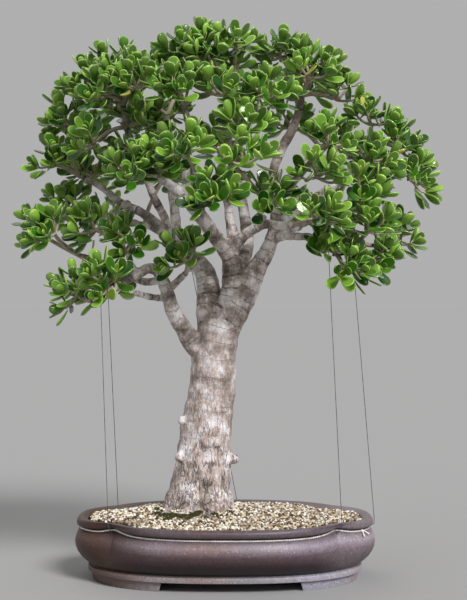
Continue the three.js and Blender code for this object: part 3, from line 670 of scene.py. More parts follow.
def bark_relief(piece, stems, limb_count):
    """Swells, folds and cracks the wood, and stores how far along its limb each point lies."""
    tree, flat = tree_of_samples(stems)
    mesh = piece.data
    along_of = mesh.attributes.new("along", "FLOAT", "POINT")
    girth_of = mesh.attributes.new("girth", "FLOAT", "POINT")
    moved = []
    for vertex in mesh.vertices:
        place = vertex.co
        near = [(gap - flat[number][1], number) for _, number, gap in tree.find_n(place, NEAREST)]
        _, radius, along, limb = flat[min(near)[1]]
        along_of.data[vertex.index].value = along + LIMB_PHASE * limb
        girth_of.data[vertex.index].value = radius if limb < limb_count else OLD_GIRTH
        thick = min(1.0, radius / THICK_GIRTH)
        swell = RING_SWELL * (0.3 + thick) * math.cos(2 * math.pi * along / (RING_SPACING * MM))
        lump = LUMP["height"] * thick * stretched_noise(place, LUMP["size"])
        fold = FOLD["height"] * (0.4 + thick) * stretched_noise(place, FOLD["size"], FOLD["squeeze"])
        low = (CRACK["from"] * MM - place.z) / ((CRACK["from"] - CRACK["to"]) * MM)
        split = 1 - CRACK["sharpness"] * abs(stretched_noise(place, CRACK["size"], CRACK["squeeze"]))
        crack = -CRACK["height"] * min(1.0, max(0.0, low)) * max(0.0, split)
        moved.append(place + vertex.normal * (swell + lump + fold + crack) * MM)
    mesh.vertices.foreach_set("co", [c for place in moved for c in place])
    mesh.update()


bark_relief(wood, stems, 1 + len(LIMBS))
wood.data.polygons.foreach_set("use_smooth", [True] * len(wood.data.polygons))


# %% [markdown]
# Old jade bark is thin, pale and papery: grey-beige with warmer and olive stains. The high limbs inside the
# crown are darker and browner, which is the crown's painted shade. Low on the trunk fine dark cracks run up
# and down, and thin dark ring scars cross every limb. The cracks lie where a noise stretched along the
# trunk is near its middle value, the plates at the foot are Voronoi cells, and the rings are the edges of
# one-dimensional cells over the stored distance along the limb. The cracks are drawn about twice as wide as
# real ones, so that they show.

# %% Bark
def bark():
    material, tree, surface, place = new_material("jade_bark")
    along = add(tree, "Attribute", out="Fac", attribute_name="along")
    girth = add(tree, "Attribute", out="Fac", attribute_name="girth")
    height = add(tree, "SeparateXYZ", {"Vector": place}, "Z")
    squeezed = add(tree, "Mapping", {"Vector": place, "Scale": (1.0, 1.0, 0.28)})
    blotch, mottle, fine, veins, streaks = [
        add(
            tree,
            "TexNoise",
            {"Vector": where, "Scale": per_mm(size), "Detail": detail, "Roughness": roughness},
        )
        for where, size, detail, roughness in (
            (place, 40, 5.0, 0.62),
            (place, 10, 4.0, 0.6),
            (place, 2.6, 3.0, 0.5),
            (squeezed, 9, 2.0, 0.5),
            (squeezed, 3.4, 4.0, 0.7),
        )
    ]
    old, thin_limb, high, low, foot, patchy, broken = [
        add(tree, "MapRange", {"Value": value, "From Min": start, "From Max": end, "To Max": most})
        for value, start, end, most in (
            (girth, 14 * MM, 44 * MM, 1.0),
            (girth, 46 * MM, 32 * MM, 1.0),
            (height, 640 * MM, 780 * MM, 0.65),
            (height, 420 * MM, 180 * MM, 1.0),
            (height, 175 * MM, 135 * MM, 1.0),
            (mottle, 0.42, 0.5, 1.0),
            (mottle, 0.34, 0.44, 1.0),
        )
    ]

    limb_tones = [(0.32, "#685a50"), (0.44, "#a89c97"), (0.56, "#e4dddc"), (0.66, "#f8f4f4")]
    trunk_tones = [(0.32, "#a3958b"), (0.44, "#c3b8b3"), (0.56, "#dfd8d8"), (0.66, "#f8f4f6")]
    limb_bark, trunk_bark = [add(tree, "ValToRGB", {0: blotch}, stops=t) for t in (limb_tones, trunk_tones)]
    colour = add(tree, "Mix", {FACTOR: old, FIRST: limb_bark, SECOND: trunk_bark}, **MIXED)
    stain_tones = [(0.32, "#75685c"), (0.42, "#857e78"), (0.55, "#8b8887"), (0.7, "#9a9899")]
    stain = add(tree, "ValToRGB", {0: mottle}, stops=stain_tones)
    colour = add(tree, "Mix", {FACTOR: 0.6, FIRST: colour, SECOND: stain}, **OVERLAID)
    # Painted shade: the high limbs inside the crown are darker and browner.
    colour = add(tree, "Mix", {FACTOR: high, FIRST: colour, SECOND: linear("#6b5a4d")}, **MIXED)
    streak = add(tree, "ValToRGB", {0: streaks}, stops=[(0.34, 0.1), (0.47, 0.5), (0.64, 0.88)])
    low_half = add(tree, "MapRange", {"Value": low, "To Min": 0.35, "To Max": 0.68})
    colour = add(tree, "Mix", {FACTOR: low_half, FIRST: colour, SECOND: streak}, **OVERLAID)

    # Three kinds of dark mark, each weakened where the bark has none.
    middle = add(tree, "Math", {0: veins, 1: 0.5}, operation="SUBTRACT")
    split = add(tree, "Math", {0: middle}, operation="ABSOLUTE")
    plates = add(tree, "TexVoronoi", {"Vector": place, "Scale": per_mm(21)}, feature="DISTANCE_TO_EDGE")
    swerve = add(tree, "Math", {0: mottle, 1: 7 * MM}, operation="MULTIPLY")
    ringed = add(tree, "Math", {0: along, 1: swerve}, operation="ADD")
    one_way = {"voronoi_dimensions": "1D", "feature": "DISTANCE_TO_EDGE"}
    rings = add(tree, "TexVoronoi", {"W": ringed, "Scale": per_mm(RING_SPACING)}, **one_way)
    marks = None
    for pattern, edge, most, fade, shares in (
        (split, 0.022, 0.9, 0.05, (low, patchy)),
        (plates, 0.03, 0.8, 0.07, (foot, patchy)),
        (rings, 0.026, 0.9, 0.055, (thin_limb, broken)),
    ):
        mark = add(tree, "ValToRGB", {0: pattern}, stops=[(0.0, 1.0), (edge, most), (fade, 0.0)])
        for share in shares:
            mark = add(tree, "Math", {0: mark, 1: share}, operation="MULTIPLY")
        marks = mark if marks is None else add(tree, "Math", {0: marks, 1: mark}, operation="MAXIMUM")
    shown = add(tree, "MapRange", {"Value": marks, "To Max": 0.75})
    colour = add(tree, "Mix", {FACTOR: shown, FIRST: colour, SECOND: linear("#33271f")}, **MIXED)
    grain = add(tree, "ValToRGB", {0: fine}, stops=[(0.3, 0.34), (0.7, 0.66)])
    colour = add(tree, "Mix", {FACTOR: 0.6, FIRST: colour, SECOND: grain}, **OVERLAID)
    relief = add(tree, "Math", {0: fine, 1: marks}, operation="SUBTRACT")
    relief = add(tree, "Math", {0: relief, 1: streaks}, operation="ADD")
    bump = add(tree, "Bump", {"Height": relief, "Strength": 0.8, "Distance": 1.4 * MM})
    feed(tree, surface, {"Base Color": colour, "Roughness": 0.7, "Normal": bump})
    return material


BARK = bark()
ready(wood, "trunk_and_limbs", BARK, "bark", "trunk")


# %% [markdown]
# Each clump of leaves hangs on one twig that leaves the nearest thin stretch of limb, bends towards
# the clump and forks there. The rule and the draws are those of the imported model, so the first two
# shoots of a clump stand where its solids stand.

# %% Middles of the clumps
CLUMPS = [
    (-239, -10, 866), (-176, -50, 877), (-119, 10, 880), (-64, -20, 926), (19, -30, 930), (97, 20, 924),
    (159, 0, 902), (202, 50, 852), (-78, -120, 835), (-5, -96, 840), (72, -110, 833), (-276, 20, 803),
    (-224, -60, 761), (-303, 10, 736), (-246, 90, 724), (-160, -140, 700), (-66, -184, 732),
    (34, -136, 774), (30, -204, 712), (-14, -212, 655), (66, -164, 650), (-62, -118, 561),
    (258, 10, 803), (175, -120, 753), (306, 30, 762), (328, -6, 702), (250, -70, 728), (150, -160, 694),
    (232, -116, 668), (150, -186, 622), (238, -130, 606), (196, -132, 544), (254, -56, 559),
    (296, 14, 596), (-324, 50, 609), (-286, 110, 658), (-227, -10, 616), (-158, -70, 592),
    (-252, -60, 503), (-194, -116, 522), (-215, 190, 650), (-110, 226, 735), (150, 226, 655),
    (212, 176, 656), (-250, 160, 790), (-30, 222, 790), (60, 230, 860), (-76, 140, 896),
    (206, 140, 780),
]
CLUMP_SAG = 14
CROWN_MIDDLE = Vector((0, 0, 640)) * MM
GROWTH_SEED, SEED_STEP = 4157, 97
UP = Vector((0, 0, 1))


# %% Twigs
TWIG = {"thick_cost": 6, "thin_limb": 6 * MM, "bark": 0.5 * MM, "bend_at": 0.4, "bend_reach": 0.2}
TWIG_BASE, TWIG_TIP, FORK = 4.6 * MM, 3.2 * MM, 2.6 * MM
LIMB_CURVES = [(points, curve_through(points)) for points in LIMBS.values()]


def sideways(along):
    """Two directions square to a third."""
    guide = UP if abs(along.z) < 0.9 else Vector((1, 0, 0))
    across = guide.cross(along).normalized()
    return across, along.cross(across)


def tangent(at, share):
    step = 1e-4
    return (at(min(1, share + step)) - at(max(0, share - step))).normalized()


def twig_to(middle):
    """A curve from the limb to the middle of a clump, as (function of a share, radius at its base)."""
    best = None
    for points, at in LIMB_CURVES:
        for i in range(1, len(points)):
            place, radius = Vector(points[i][:3]) * MM, points[i][3] * MM
            length = (place - middle).length
            cost = length + TWIG["thick_cost"] * max(0, radius - TWIG["thin_limb"])
            if best is None or cost < best[0]:
                best = (cost, length, place, radius, tangent(at, i / (len(points) - 1)))
    _, length, start, radius, along = best
    bend = start.lerp(middle, TWIG["bend_at"]) + along * TWIG["bend_reach"] * length
    base = min(radius - TWIG["bark"], TWIG_BASE)
    return (lambda t: start * (1 - t) ** 2 + bend * 2 * t * (1 - t) + middle * t * t), base


# %% [markdown]
# A shoot ends in a rosette of thick leaves in crossed pairs: the oldest pairs lie open below, and
# the youngest stand closed at the tip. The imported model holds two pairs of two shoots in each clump.
# Here each shoot has an older pair below them and younger pairs above, and more shoots fill the clump.
# A further shoot is left out where it would hang below its clump or stand out past the crown.

# %% Shoots of a clump
SPREAD = 32 * MM
LEAF_LENGTH = 36 * MM
OUTWARD, LEAF_LIFT = 0.7, 0.35
HANG, OVERHANG = 8 * MM, 13 * MM

# Further shoots of a clump: turn past the first shoot, angle off the clump's facing, and reach.
MORE_SHOOTS = [
    (0.5, 1.05, 1.05), (1.5, 1.05, 1.05), (0.3, 0.25, 1.15), (0.25, 1.6, 0.95), (1.25, 1.65, 0.95),
]

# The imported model's two pairs, then the older and younger ones: angle off the axis, drop below the
# tip in millimetres, length as a share, and youth from 0 to 1.
MODEL_PAIRS = [(1.15, 10, 1.0, 0.0), (0.75, 4, 0.94, 0.1)]
OLDER_PAIR = (1.25, 19, 0.96, 0.0)
YOUNGER_PAIRS = [(0.6, 0, 0.8, 0.35), (0.4, -3, 0.48, 0.7)]
SHED, SHED_BELOW = 0.2, 10
LEAF_FOOT = 0.8


def shoot_head(middle, facing, across, over, turn, opening, reach):
    """The tip and the axis of a shoot that leans off the way its clump faces."""
    away = facing * math.cos(opening)
    away += (across * math.cos(turn) + over * math.sin(turn)) * math.sin(opening)
    tip = middle + away * reach
    axis = facing.lerp(away, OUTWARD)
    axis.z += LEAF_LIFT
    axis.normalize()
    return tip, axis


def clump_heads(middle, facing, draw, more):
    """(tip, axis) of each shoot of a clump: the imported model's two, then the further ones."""
    across, over = sideways(facing)
    turn_from = draw() * 2 * math.pi
    heads = []
    for k in range(2):
        turn = turn_from + k * math.pi + jitter(draw, 0.5)
        opening = 1 + jitter(draw, 0.2)
        reach = SPREAD * (1 + jitter(draw, 0.25))
        heads.append(shoot_head(middle, facing, across, over, turn, opening, reach))
    furthest = max((tip - CROWN_MIDDLE).length for tip, _ in heads) + OVERHANG
    for half_turns, opening, share in MORE_SHOOTS:
        turn = turn_from + half_turns * math.pi + jitter(more, 0.6)
        reach = SPREAD * share * (1 + jitter(more, 0.3))
        tip, axis = shoot_head(middle, facing, across, over, turn, opening + jitter(more, 0.25), reach)
        if tip.z > middle.z - HANG and (tip - CROWN_MIDDLE).length < furthest:
            heads.append((tip, axis))
    return heads


def leaf_places(tip, axis, draw, more):
    """(matrix, youth) of each leaf of one rosette."""
    across, over = sideways(axis)
    start = draw() * math.pi
    size = LEAF_LENGTH * (1 + jitter(draw, 0.24))
    places = []

    def pair_of_leaves(pair, quarter, wobble):
        opening, drop, share, youth = pair
        for side in range(2):
            turn = start + quarter * math.pi / 2 + side * math.pi + jitter(wobble, 0.3)
            opened = opening + jitter(wobble, 0.2)
            radial = across * math.cos(turn) + over * math.sin(turn)
            along = axis * math.cos(opened) + radial * math.sin(opened)
            up = axis * math.sin(opened) - radial * math.cos(opened)
            left = up.cross(along)
            root = tip - axis * drop * MM + along * LEAF_FOOT * MM
            place = Matrix((along, left, up)).transposed().to_4x4()
            place.translation = root
            length = size * share * (1 + jitter(more, 0.16))
            broad = length * (1 + jitter(more, 0.14))
            shed = more() < SHED and drop >= SHED_BELOW
            if not shed:
                places.append((place @ Matrix.Diagonal((length, broad, broad, 1)), youth))

    for quarter, pair in enumerate(MODEL_PAIRS):
        pair_of_leaves(pair, quarter, draw)
    pair_of_leaves(OLDER_PAIR, 1, more)
    for quarter, pair in enumerate(YOUNGER_PAIRS):
        pair_of_leaves(pair, quarter, more)
    return places


# %% [markdown]
# One leaf is modelled once: thick and fleshy, narrow at its foot, broadest past its middle, nearly flat
# above and full below, with a slightly upturned tip. It starts as a sphere whose poles point up and
# down, so its equator becomes the rim. In edit mode its faces are spread and flattened, then a modifier
# tapers it and it is cupped. Two values stored at each point tell the material how near the rim it
# lies, and on which side, and how far along the leaf.

# %% A jade leaf
# Shares of the leaf's length, but for the taper, and for how far the faces spread.
LEAF_WIDTH, LEAF_THICKNESS, LEAF_SAG = 0.208, 0.056, 0.03
LEAF_TAPER, LEAF_CUP, LEAF_UPTURN = 2.6, 0.6, 0.13
LEAF_FACE, UPPER_FLATNESS = 1.2, 0.25


def one_leaf():
    middle = (0.5, 0, 0)
    leaf = fresh(
        bpy.ops.mesh.primitive_uv_sphere_add, segments=16, ring_count=4, radius=0.5, location=middle
    )
    apply_place(leaf)
    points = leaf.data.vertices
    for key, values in (("side", [2 * p.co.z for p in points]), ("reach", [p.co.x for p in points])):
        leaf.data.attributes.new(key, "FLOAT", "POINT").data.foreach_set("value", values)
    bpy.ops.object.mode_set(mode="EDIT")
    for wanted, size in (
        (lambda place: 0.3 < abs(place.z) < 0.4, (LEAF_FACE, LEAF_FACE, 1)),
        (lambda place: True, (1, LEAF_WIDTH, LEAF_THICKNESS)),
        (lambda place: place.z > 1e-4, (1, 1, UPPER_FLATNESS)),
    ):
        pick_points(leaf, wanted)
        bpy.ops.transform.resize(value=size, center_override=middle)
    bpy.ops.object.mode_set(mode="OBJECT")
    finish_modifier(leaf, "SIMPLE_DEFORM", deform_method="TAPER", deform_axis="X", factor=LEAF_TAPER)
    for vertex in leaf.data.vertices:
        x, y = vertex.co.x, vertex.co.y
        vertex.co.z += LEAF_UPTURN * x**2 - LEAF_SAG * math.sin(math.pi * x) + LEAF_CUP * y**2
    smooth_by_angle(leaf, 180)
    return leaf


leaf = one_leaf()
print("one leaf", triangles(leaf), "triangles, width as a share of length", round(leaf.dimensions.y, 2))


# %% [markdown]
# Jade leaves are waxy and glossy, which a thin clear coat over a duller skin gives. The skin is a deep
# green, lighter on some leaves and on young growth, with a paler foot and underside, and a few leaves are
# yellow with age. The rim is paler too: partly the leaf's own paler margin and partly a painted highlight
# along the edge.

# %% Leaf skin
def leaf_skin():
    material, tree, surface, place = new_material("waxy_jade_leaf")
    side, reach, tint, youth = [
        add(tree, "Attribute", out="Fac", attribute_name=key) for key in ("side", "reach", "tint", "youth")
    ]
    cloud = add(tree, "TexNoise", {"Vector": place, "Scale": per_mm(11), "Detail": 2.0})
    pores = add(tree, "TexNoise", {"Vector": place, "Scale": per_mm(1.6), "Detail": 1.0})
    greens = [(0.0, "#082901"), (0.35, "#1f5105"), (0.7, "#458417"), (0.93, "#9dd04a")]
    skin = add(tree, "ValToRGB", {0: tint}, stops=greens)
    skin = add(tree, "Mix", {FACTOR: youth, FIRST: skin, SECOND: linear("#9cc04a")}, **MIXED)
    clouded = add(tree, "ValToRGB", {0: cloud}, stops=[(0.3, 0.4), (0.7, 0.6)])
    skin = add(tree, "Mix", {FACTOR: 0.6, FIRST: skin, SECOND: clouded}, **OVERLAID)
    edge = add(tree, "Math", {0: side}, operation="ABSOLUTE")
    for value, start, end, most, tone in (
        (side, -0.1, -0.7, 0.4, "#7da645"),  # underside
        (side, 0.25, 0.8, 0.45, "#23560f"),  # upper face
        # The rim: the leaf's own paler margin, and partly a painted highlight along the edge.
        (edge, 0.34, 0.0, 0.8, "#c3da84"),  # rim
        (reach, 0.4, 0.04, 0.6, "#9cc347"),  # foot
        (tint, 0.994, 0.999, 1.0, "#c6c35e"),  # age
    ):
        ends = {"From Min": start, "From Max": end, "To Max": most}
        share = add(tree, "MapRange", {"Value": value, **ends})
        skin = add(tree, "Mix", {FACTOR: share, FIRST: skin, SECOND: linear(tone)}, **MIXED)
    bump = add(tree, "Bump", {"Height": pores, "Strength": 0.15, "Distance": 0.25 * MM})
    looks = {"Roughness": 0.3, "Specular IOR Level": 0.15, "Coat Weight": 0.6, "Coat Roughness": 0.05}
    feed(tree, surface, {"Base Color": skin, "Normal": bump, **looks})
    return material


LEAF_SKIN = leaf_skin()


# %% [markdown]
# Each clump is one mesh of copies of the leaf, with the copies' points computed all at once. Every
# copy gets a tint of its own, so that neighbouring leaves differ as they do on the plant.

# %% Clumps of leaves
STEM_LENGTH = 13 * MM
FORK_DROP = 2 * MM
LIFT, FORWARD = 0.6, 0.5
YOUTH_SPREAD = 0.3


def copies(name, shape, places, **values):
    """One mesh of copies of a shape, one for each matrix, with one value per copy on its points."""
    source, count = shape.data, len(places)
    points = np.ones((len(source.vertices), 4))
    points[:, :3] = [vertex.co for vertex in source.vertices]
    corners = np.array([loop.vertex_index for loop in source.loops])
    starts = np.array([face.loop_start for face in source.polygons])
    placed = np.einsum("nij,vj->nvi", np.array(places)[:, :3], points)
    number = np.arange(count)[:, None]
    data = bpy.data.meshes.new(name)
    data.vertices.add(count * len(points))
    data.loops.add(count * len(corners))
    data.polygons.add(count * len(starts))
    data.vertices.foreach_set("co", placed.ravel())
    data.loops.foreach_set("vertex_index", (corners + number * len(points)).ravel())
    data.polygons.foreach_set("loop_start", (starts + number * len(corners)).ravel())
    smooth = [face.use_smooth for face in source.polygons]
    data.polygons.foreach_set("use_smooth", smooth * count)
    data.update(calc_edges=True)
    of_points = {key: np.repeat(per_copy, len(points)) for key, per_copy in values.items()}
    for key in ("side", "reach"):
        if key in source.attributes:
            of_points[key] = [item.value for item in source.attributes[key].data] * count
    for key, numbers in of_points.items():
        data.attributes.new(key, "FLOAT", "POINT").data.foreach_set("value", numbers)
    piece = bpy.data.objects.new(name, data)
    bpy.context.collection.objects.link(piece)
    return piece


def leafy_piece(places, draw):
    tints = [draw() for _ in places]
    youths = [min(1.0, max(0.0, youth + jitter(draw, YOUTH_SPREAD))) for _, youth in places]
    return copies("leaves", leaf, [place for place, _ in places], tint=tints, youth=youths)


def fork(root, tip, axis):
    """A short stem with a bend, from the middle of a clump to a rosette."""
    knee = tip - axis * STEM_LENGTH
    path = [root.lerp(knee, t).lerp(knee.lerp(tip, t), t) for t in (0, 0.25, 0.5, 0.75, 1)]
    return [(point, FORK * (1.1 - 0.1 * step)) for step, point in enumerate(path)]


def clump_middle(point):
    return (Vector(point) - UP * CLUMP_SAG) * MM


def clump(point, draw, more):
    """Grows a clump's stems, and gives the places of its leaves."""
    middle = clump_middle(point)
    path, base = twig_to(middle)
    facing = tangent(path, 1) * FORWARD + (middle - CROWN_MIDDLE).normalized()
    facing.z += LIFT
    facing.normalize()
    twig = [(path(i / 10), base + (TWIG_TIP - base) * i / 10) for i in range(10)]
    leaves = []
    for k, (tip, axis) in enumerate(clump_heads(middle, facing, draw, more)):
        root = middle if k == 0 else middle - facing * FORK_DROP
        twig_stems.append((twig if k == 0 else []) + fork(root, tip, axis))
        leaves += leaf_places(tip, axis, draw if k < 2 else more, more)
    return leaves


twig_stems = []
leaf_count = 0
for number, point in enumerate(CLUMPS):
    more = seeded(GROWTH_SEED * 7 + number)
    places = clump(point, seeded(GROWTH_SEED + SEED_STEP * number), more)
    leaf_count += len(places)
    name = f"{number + 1:02d}"
    ready(leafy_piece(places, more), "leaves_" + name, LEAF_SKIN, "leaf", "spray_" + name)
print(leaf_count, "leaves in", len(CLUMPS), "clumps")


# %% [markdown]
# Between those clumps stand a few more, where the crown is closed in front and on its back and rim,
# and short shoots that break from the thin limbs high up wherever light reaches them. The shoots stand
# at even steps along each limb, turned by the draw, and only where no clump is near.

# %% Shoots between the clumps
FILLING_CLUMPS = [
    (-205, -75, 840), (-150, -95, 850), (-112, -115, 712), (-25, -40, 905), (150, -30, 878),
    (173, -100, 580), (-140, -20, 800), (-112, 170, 840), (-160, 198, 780), (20, 160, 885),
    (-190, 110, 850), (125, 178, 820), (150, 110, 885), (255, 110, 725), (-296, -25, 610),
    (-200, -45, 512), (-198, 20, 905),
]
LONE = {"spacing": 40, "thin": 8 * MM, "least_height": 690 * MM, "room": 48 * MM, "lean": 0.9}
LONE_REACH = (30, 56)
FILL_SEED = 2203


def lone_heads(draw, middles):
    """(root, tip, axis) of each shoot."""
    heads = []
    for points, _ in LIMB_CURVES:
        for place, radius, _ in samples(points, LONE["spacing"]):
            outward = (place - CROWN_MIDDLE).normalized()
            across, over = sideways(outward)
            turn = draw() * 2 * math.pi
            axis = outward + (across * math.cos(turn) + over * math.sin(turn)) * LONE["lean"]
            axis.z += LIFT
            axis.normalize()
            reach = LONE_REACH[0] + (LONE_REACH[1] - LONE_REACH[0]) * draw()
            tip = place + axis * reach * MM
            if radius > LONE["thin"] or place.z < LONE["least_height"]:
                continue
            if min((tip - middle).length for middle in middles) > LONE["room"]:
                heads.append((place, tip, axis))
    return heads


fill_draw = seeded(FILL_SEED)
places = []
for point in FILLING_CLUMPS:
    places += clump(point, fill_draw, fill_draw)
every_middle = [clump_middle(point) for point in CLUMPS + FILLING_CLUMPS]
for root, tip, axis in lone_heads(fill_draw, every_middle):
    twig_stems.append(fork(root, tip, axis))
    places += leaf_places(tip, axis, fill_draw, fill_draw)
ready(leafy_piece(places, fill_draw), "leaves_between", LEAF_SKIN, "leaf")
bpy.data.objects.remove(leaf)
print(len(places), "leaves between the clumps")


# %% [markdown]
# The young stems between wood and leaves are green-brown and smoother than the limbs. They are
# curves as the limbs are, but thin, and their joints hide among the leaves, so they need no remesh.

# %% Young stems
def young_stem():
    material, tree, surface, place = new_material("young_jade_stem")
    patches = add(tree, "TexNoise", {"Vector": place, "Scale": per_mm(12), "Detail": 3.0})
    fine = add(tree, "TexNoise", {"Vector": place, "Scale": per_mm(2), "Detail": 2.0})
    tones = [(0.35, "#8f7b6c"), (0.5, "#b3a395"), (0.68, "#a4a676")]
    colour = add(tree, "ValToRGB", {0: patches}, stops=tones)
    bump = add(tree, "Bump", {"Height": fine, "Strength": 0.4, "Distance": 0.5 * MM})
    feed(tree, surface, {"Base Color": colour, "Roughness": 0.6, "Normal": bump})
    return material


twigs = as_mesh(stem_curve("twigs", twig_stems, 1))
smooth_by_angle(twigs, 60)
ready(twigs, "young_stems", young_stem(), "bark")


# %% [markdown]
# The pot is dressed with grit: angular grains of 4 to 7 mm, cream, tan, white and brown, over a darker mix
# that shows between them. Some grains are stained brown in one damp patch, and some grains on the right are
# darkened brown as painted shade.
# The imported bed keeps its shape and gets the dark mix as its material. One grain is a rough stone of
# twenty faces. Its copies lie on the bed in a staggered grid whose places are shaken, and a ray cast
# down onto the bed gives each its height.

# %% Potting mix and grit
def potting_mix():
    material, tree, surface, place = new_material("dark_potting_mix")
    crumbs = add(tree, "TexNoise", {"Vector": place, "Scale": per_mm(3), "Detail": 4.0})
    tones = [(0.35, "#1c140d"), (0.55, "#3f3122"), (0.7, "#6f5c42")]
    colour = add(tree, "ValToRGB", {0: crumbs}, stops=tones)
    bump = add(tree, "Bump", {"Height": crumbs, "Strength": 0.9, "Distance": 1.5 * MM})
    feed(tree, surface, {"Base Color": colour, "Roughness": 0.9, "Normal": bump})
    return material


def grit():
    material, tree, surface, place = new_material("quartz_and_clay_grit")
    tint, wet = [add(tree, "Attribute", out="Fac", attribute_name=key) for key in ("tint", "wet")]
    dust = add(tree, "TexNoise", {"Vector": place, "Scale": per_mm(2), "Detail": 3.0})
    stones = [
        (0.0, "#3f2f20"), (0.11, "#735a40"), (0.22, "#a0876a"), (0.38, "#cbbb9c"), (0.57, "#e9e0cc"),
        (0.77, "#fbf9f2"), (0.95, "#8c8173"),
    ]
    colour = add(tree, "ValToRGB", {0: tint}, stops=stones)
    colour.node.color_ramp.interpolation = "CONSTANT"
    # Brown on the grains: a real stain in one damp patch, and painted shade on the right.
    colour = add(tree, "Mix", {FACTOR: wet, FIRST: colour, SECOND: linear("#5a422b")}, **MIXED)
    dusty = add(tree, "ValToRGB", {0: dust}, stops=[(0.3, 0.42), (0.7, 0.7)])
    colour = add(tree, "Mix", {FACTOR: 0.6, FIRST: colour, SECOND: dusty}, **OVERLAID)
    feed(tree, surface, {"Base Color": colour, "Roughness": 0.75})
    return material


mix_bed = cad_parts["gravel_bed"]
mix_bed.data.materials.clear()
mix_bed.data.materials.append(potting_mix())
GRAIN_PITCH, ROW_SHARE, GRAIN_SHAKE = 5.15, 0.87, 2.4
ROWS, COLUMNS = 45, 64
GRAIN_RADIUS = (1.9, 3.4)
GRAIN_LIFT = {"least": 0.25, "more": 0.5}
GRIT_SEED = 91
GRIT_INSET = 22.5
TRUNK_ROOM = 57
STAIN = {"middle": Vector((-155, -90)) * MM, "reach": 34 * MM, "end": 1.3, "most": 0.7, "fade": 0.6}
# Painted shade: some grains darkened brown, more towards the right.
RIGHT_SHADE = {"left": 0.08, "more": 0.92, "full_at": 60 * MM}


def bed_heights():
    mesh = bmesh.new()
    mesh.from_mesh(mix_bed.data)
    tree = BVHTree.FromBMesh(mesh)
    mesh.free()
    return lambda spot: tree.ray_cast(Vector((*spot, 0.2)), -UP)[0]


ground_at = bed_heights()


def one_grain():
    grain = fresh(bpy.ops.mesh.primitive_ico_sphere_add, subdivisions=1, radius=1)
    bpy.ops.object.mode_set(mode="EDIT")
    bpy.ops.transform.resize(value=(1.15, 0.9, 0.78))
    bpy.ops.transform.vertex_random(offset=0.16, seed=3)
    bpy.ops.object.mode_set(mode="OBJECT")
    return grain


def random_turn(draw):
    axis = Vector((jitter(draw, 2), jitter(draw, 2), jitter(draw, 2) + 1e-3)).normalized()
    return Matrix.Rotation(draw() * 2 * math.pi, 4, axis)


def grain_places(draw):
    trunk_place = Vector(TRUNK[0][:2]) * MM
    places = []
    for row in range(-ROWS, ROWS + 1):
        for column in range(-COLUMNS, COLUMNS + 1):
            x = (column + 0.5 * (row % 2)) * GRAIN_PITCH + jitter(draw, GRAIN_SHAKE)
            y = row * GRAIN_PITCH * ROW_SHARE + jitter(draw, GRAIN_SHAKE)
            size = GRAIN_RADIUS[0] + (GRAIN_RADIUS[1] - GRAIN_RADIUS[0]) * draw() ** 1.5
            spot = Vector((x, y)) * MM
            on_grit = spot.length < lobed_reach(GRIT_INSET, math.atan2(y, x)) * MM
            ground = ground_at(spot) if on_grit else None
            if ground is None or (spot - trunk_place).length < TRUNK_ROOM * MM:
                continue
            lift = (GRAIN_LIFT["least"] + GRAIN_LIFT["more"] * draw()) * size * MM
            place = Matrix.Translation(ground + UP * lift) @ random_turn(draw)
            places.append(place @ Matrix.Scale(size * MM, 4))
    return places


def wetness(place, draw):
    """A share of the brown on a grain: a real stain, strong in one patch, and painted shade on some grains
    of the right.
    """
    spot = place.translation
    away = (spot.xy - STAIN["middle"]).length / STAIN["reach"]
    if away < STAIN["end"]:
        return max(0.0, STAIN["most"] - STAIN["fade"] * away + jitter(draw, 0.5))
    rightward = min(1.0, max(0.0, spot.x / RIGHT_SHADE["full_at"]))
    return (RIGHT_SHADE["left"] + RIGHT_SHADE["more"] * rightward) * draw() ** 3


grain = one_grain()
grain_draw = seeded(GRIT_SEED)
grain_spots = grain_places(grain_draw)
tints = [grain_draw() for _ in grain_spots]
wets = [wetness(place, grain_draw) for place in grain_spots]
grains = copies("grit", grain, grain_spots, tint=tints, wet=wets)
bpy.data.objects.remove(grain)
ready(grains, "grit_grains", grit(), "gravel")


# %% [markdown]
# Moss has settled in the damp shade of the trunk's foot, mostly in front: low dark green cushions of
# many small blades. A blade is a narrow cone of three sides, copied some hundreds of times over each
# cushion, which swells in its middle.

# %% Moss
MOSS_SPOTS = [
    (-104, -70, 13), (-86, -80, 15), (-70, -86, 12), (-52, -84, 14), (-36, -90, 11), (-112, -54, 9),
    (-20, -80, 10), (-96, -92, 9), (-62, -100, 9), (8, -62, 8), (-44, -70, 9), (-118, -26, 7),
    (-92, 62, 11), (-40, 80, 10), (14, 50, 8),
]
CUSHION = {"blades": 2.2, "depth": 0.7, "edge": 1.6, "swell": 4, "centre": 0.6, "lean": 1.1}
BLADE_RADIUS = 0.75
MOSS_SEED = 517


def moss():
    material, tree, surface, _ = new_material("damp_cushion_moss")
    tint = add(tree, "Attribute", out="Fac", attribute_name="tint")
    tones = [(0.0, "#191c0b"), (0.5, "#36391a"), (0.9, "#65632f")]
    colour = add(tree, "ValToRGB", {0: tint}, stops=tones)
    feed(tree, surface, {"Base Color": colour, "Roughness": 0.85})
    return material


def moss_places(draw):
    places = []
    for x, y, radius in MOSS_SPOTS:
        for _ in range(int(radius * radius * CUSHION["blades"])):
            turn, reach = draw() * 2 * math.pi, math.sqrt(draw())
            out = Vector((math.cos(turn), math.sin(turn), 0))
            across, deep = radius * reach * out.x, radius * reach * out.y * CUSHION["depth"]
            spot = Vector((x + across, y + deep)) * MM
            ground = ground_at(spot)
            if ground is None:
                continue
            dome = CUSHION["edge"] + CUSHION["swell"] * math.sqrt(1 - reach * reach)
            place = Matrix.Translation(ground + UP * dome * MM * CUSHION["centre"])
            place @= Matrix.Rotation(jitter(draw, CUSHION["lean"]), 4, out)
            size = Vector((BLADE_RADIUS, BLADE_RADIUS, dome + CUSHION["edge"])) * MM
            places.append(place @ Matrix.Diagonal((*size, 1)))
    return places


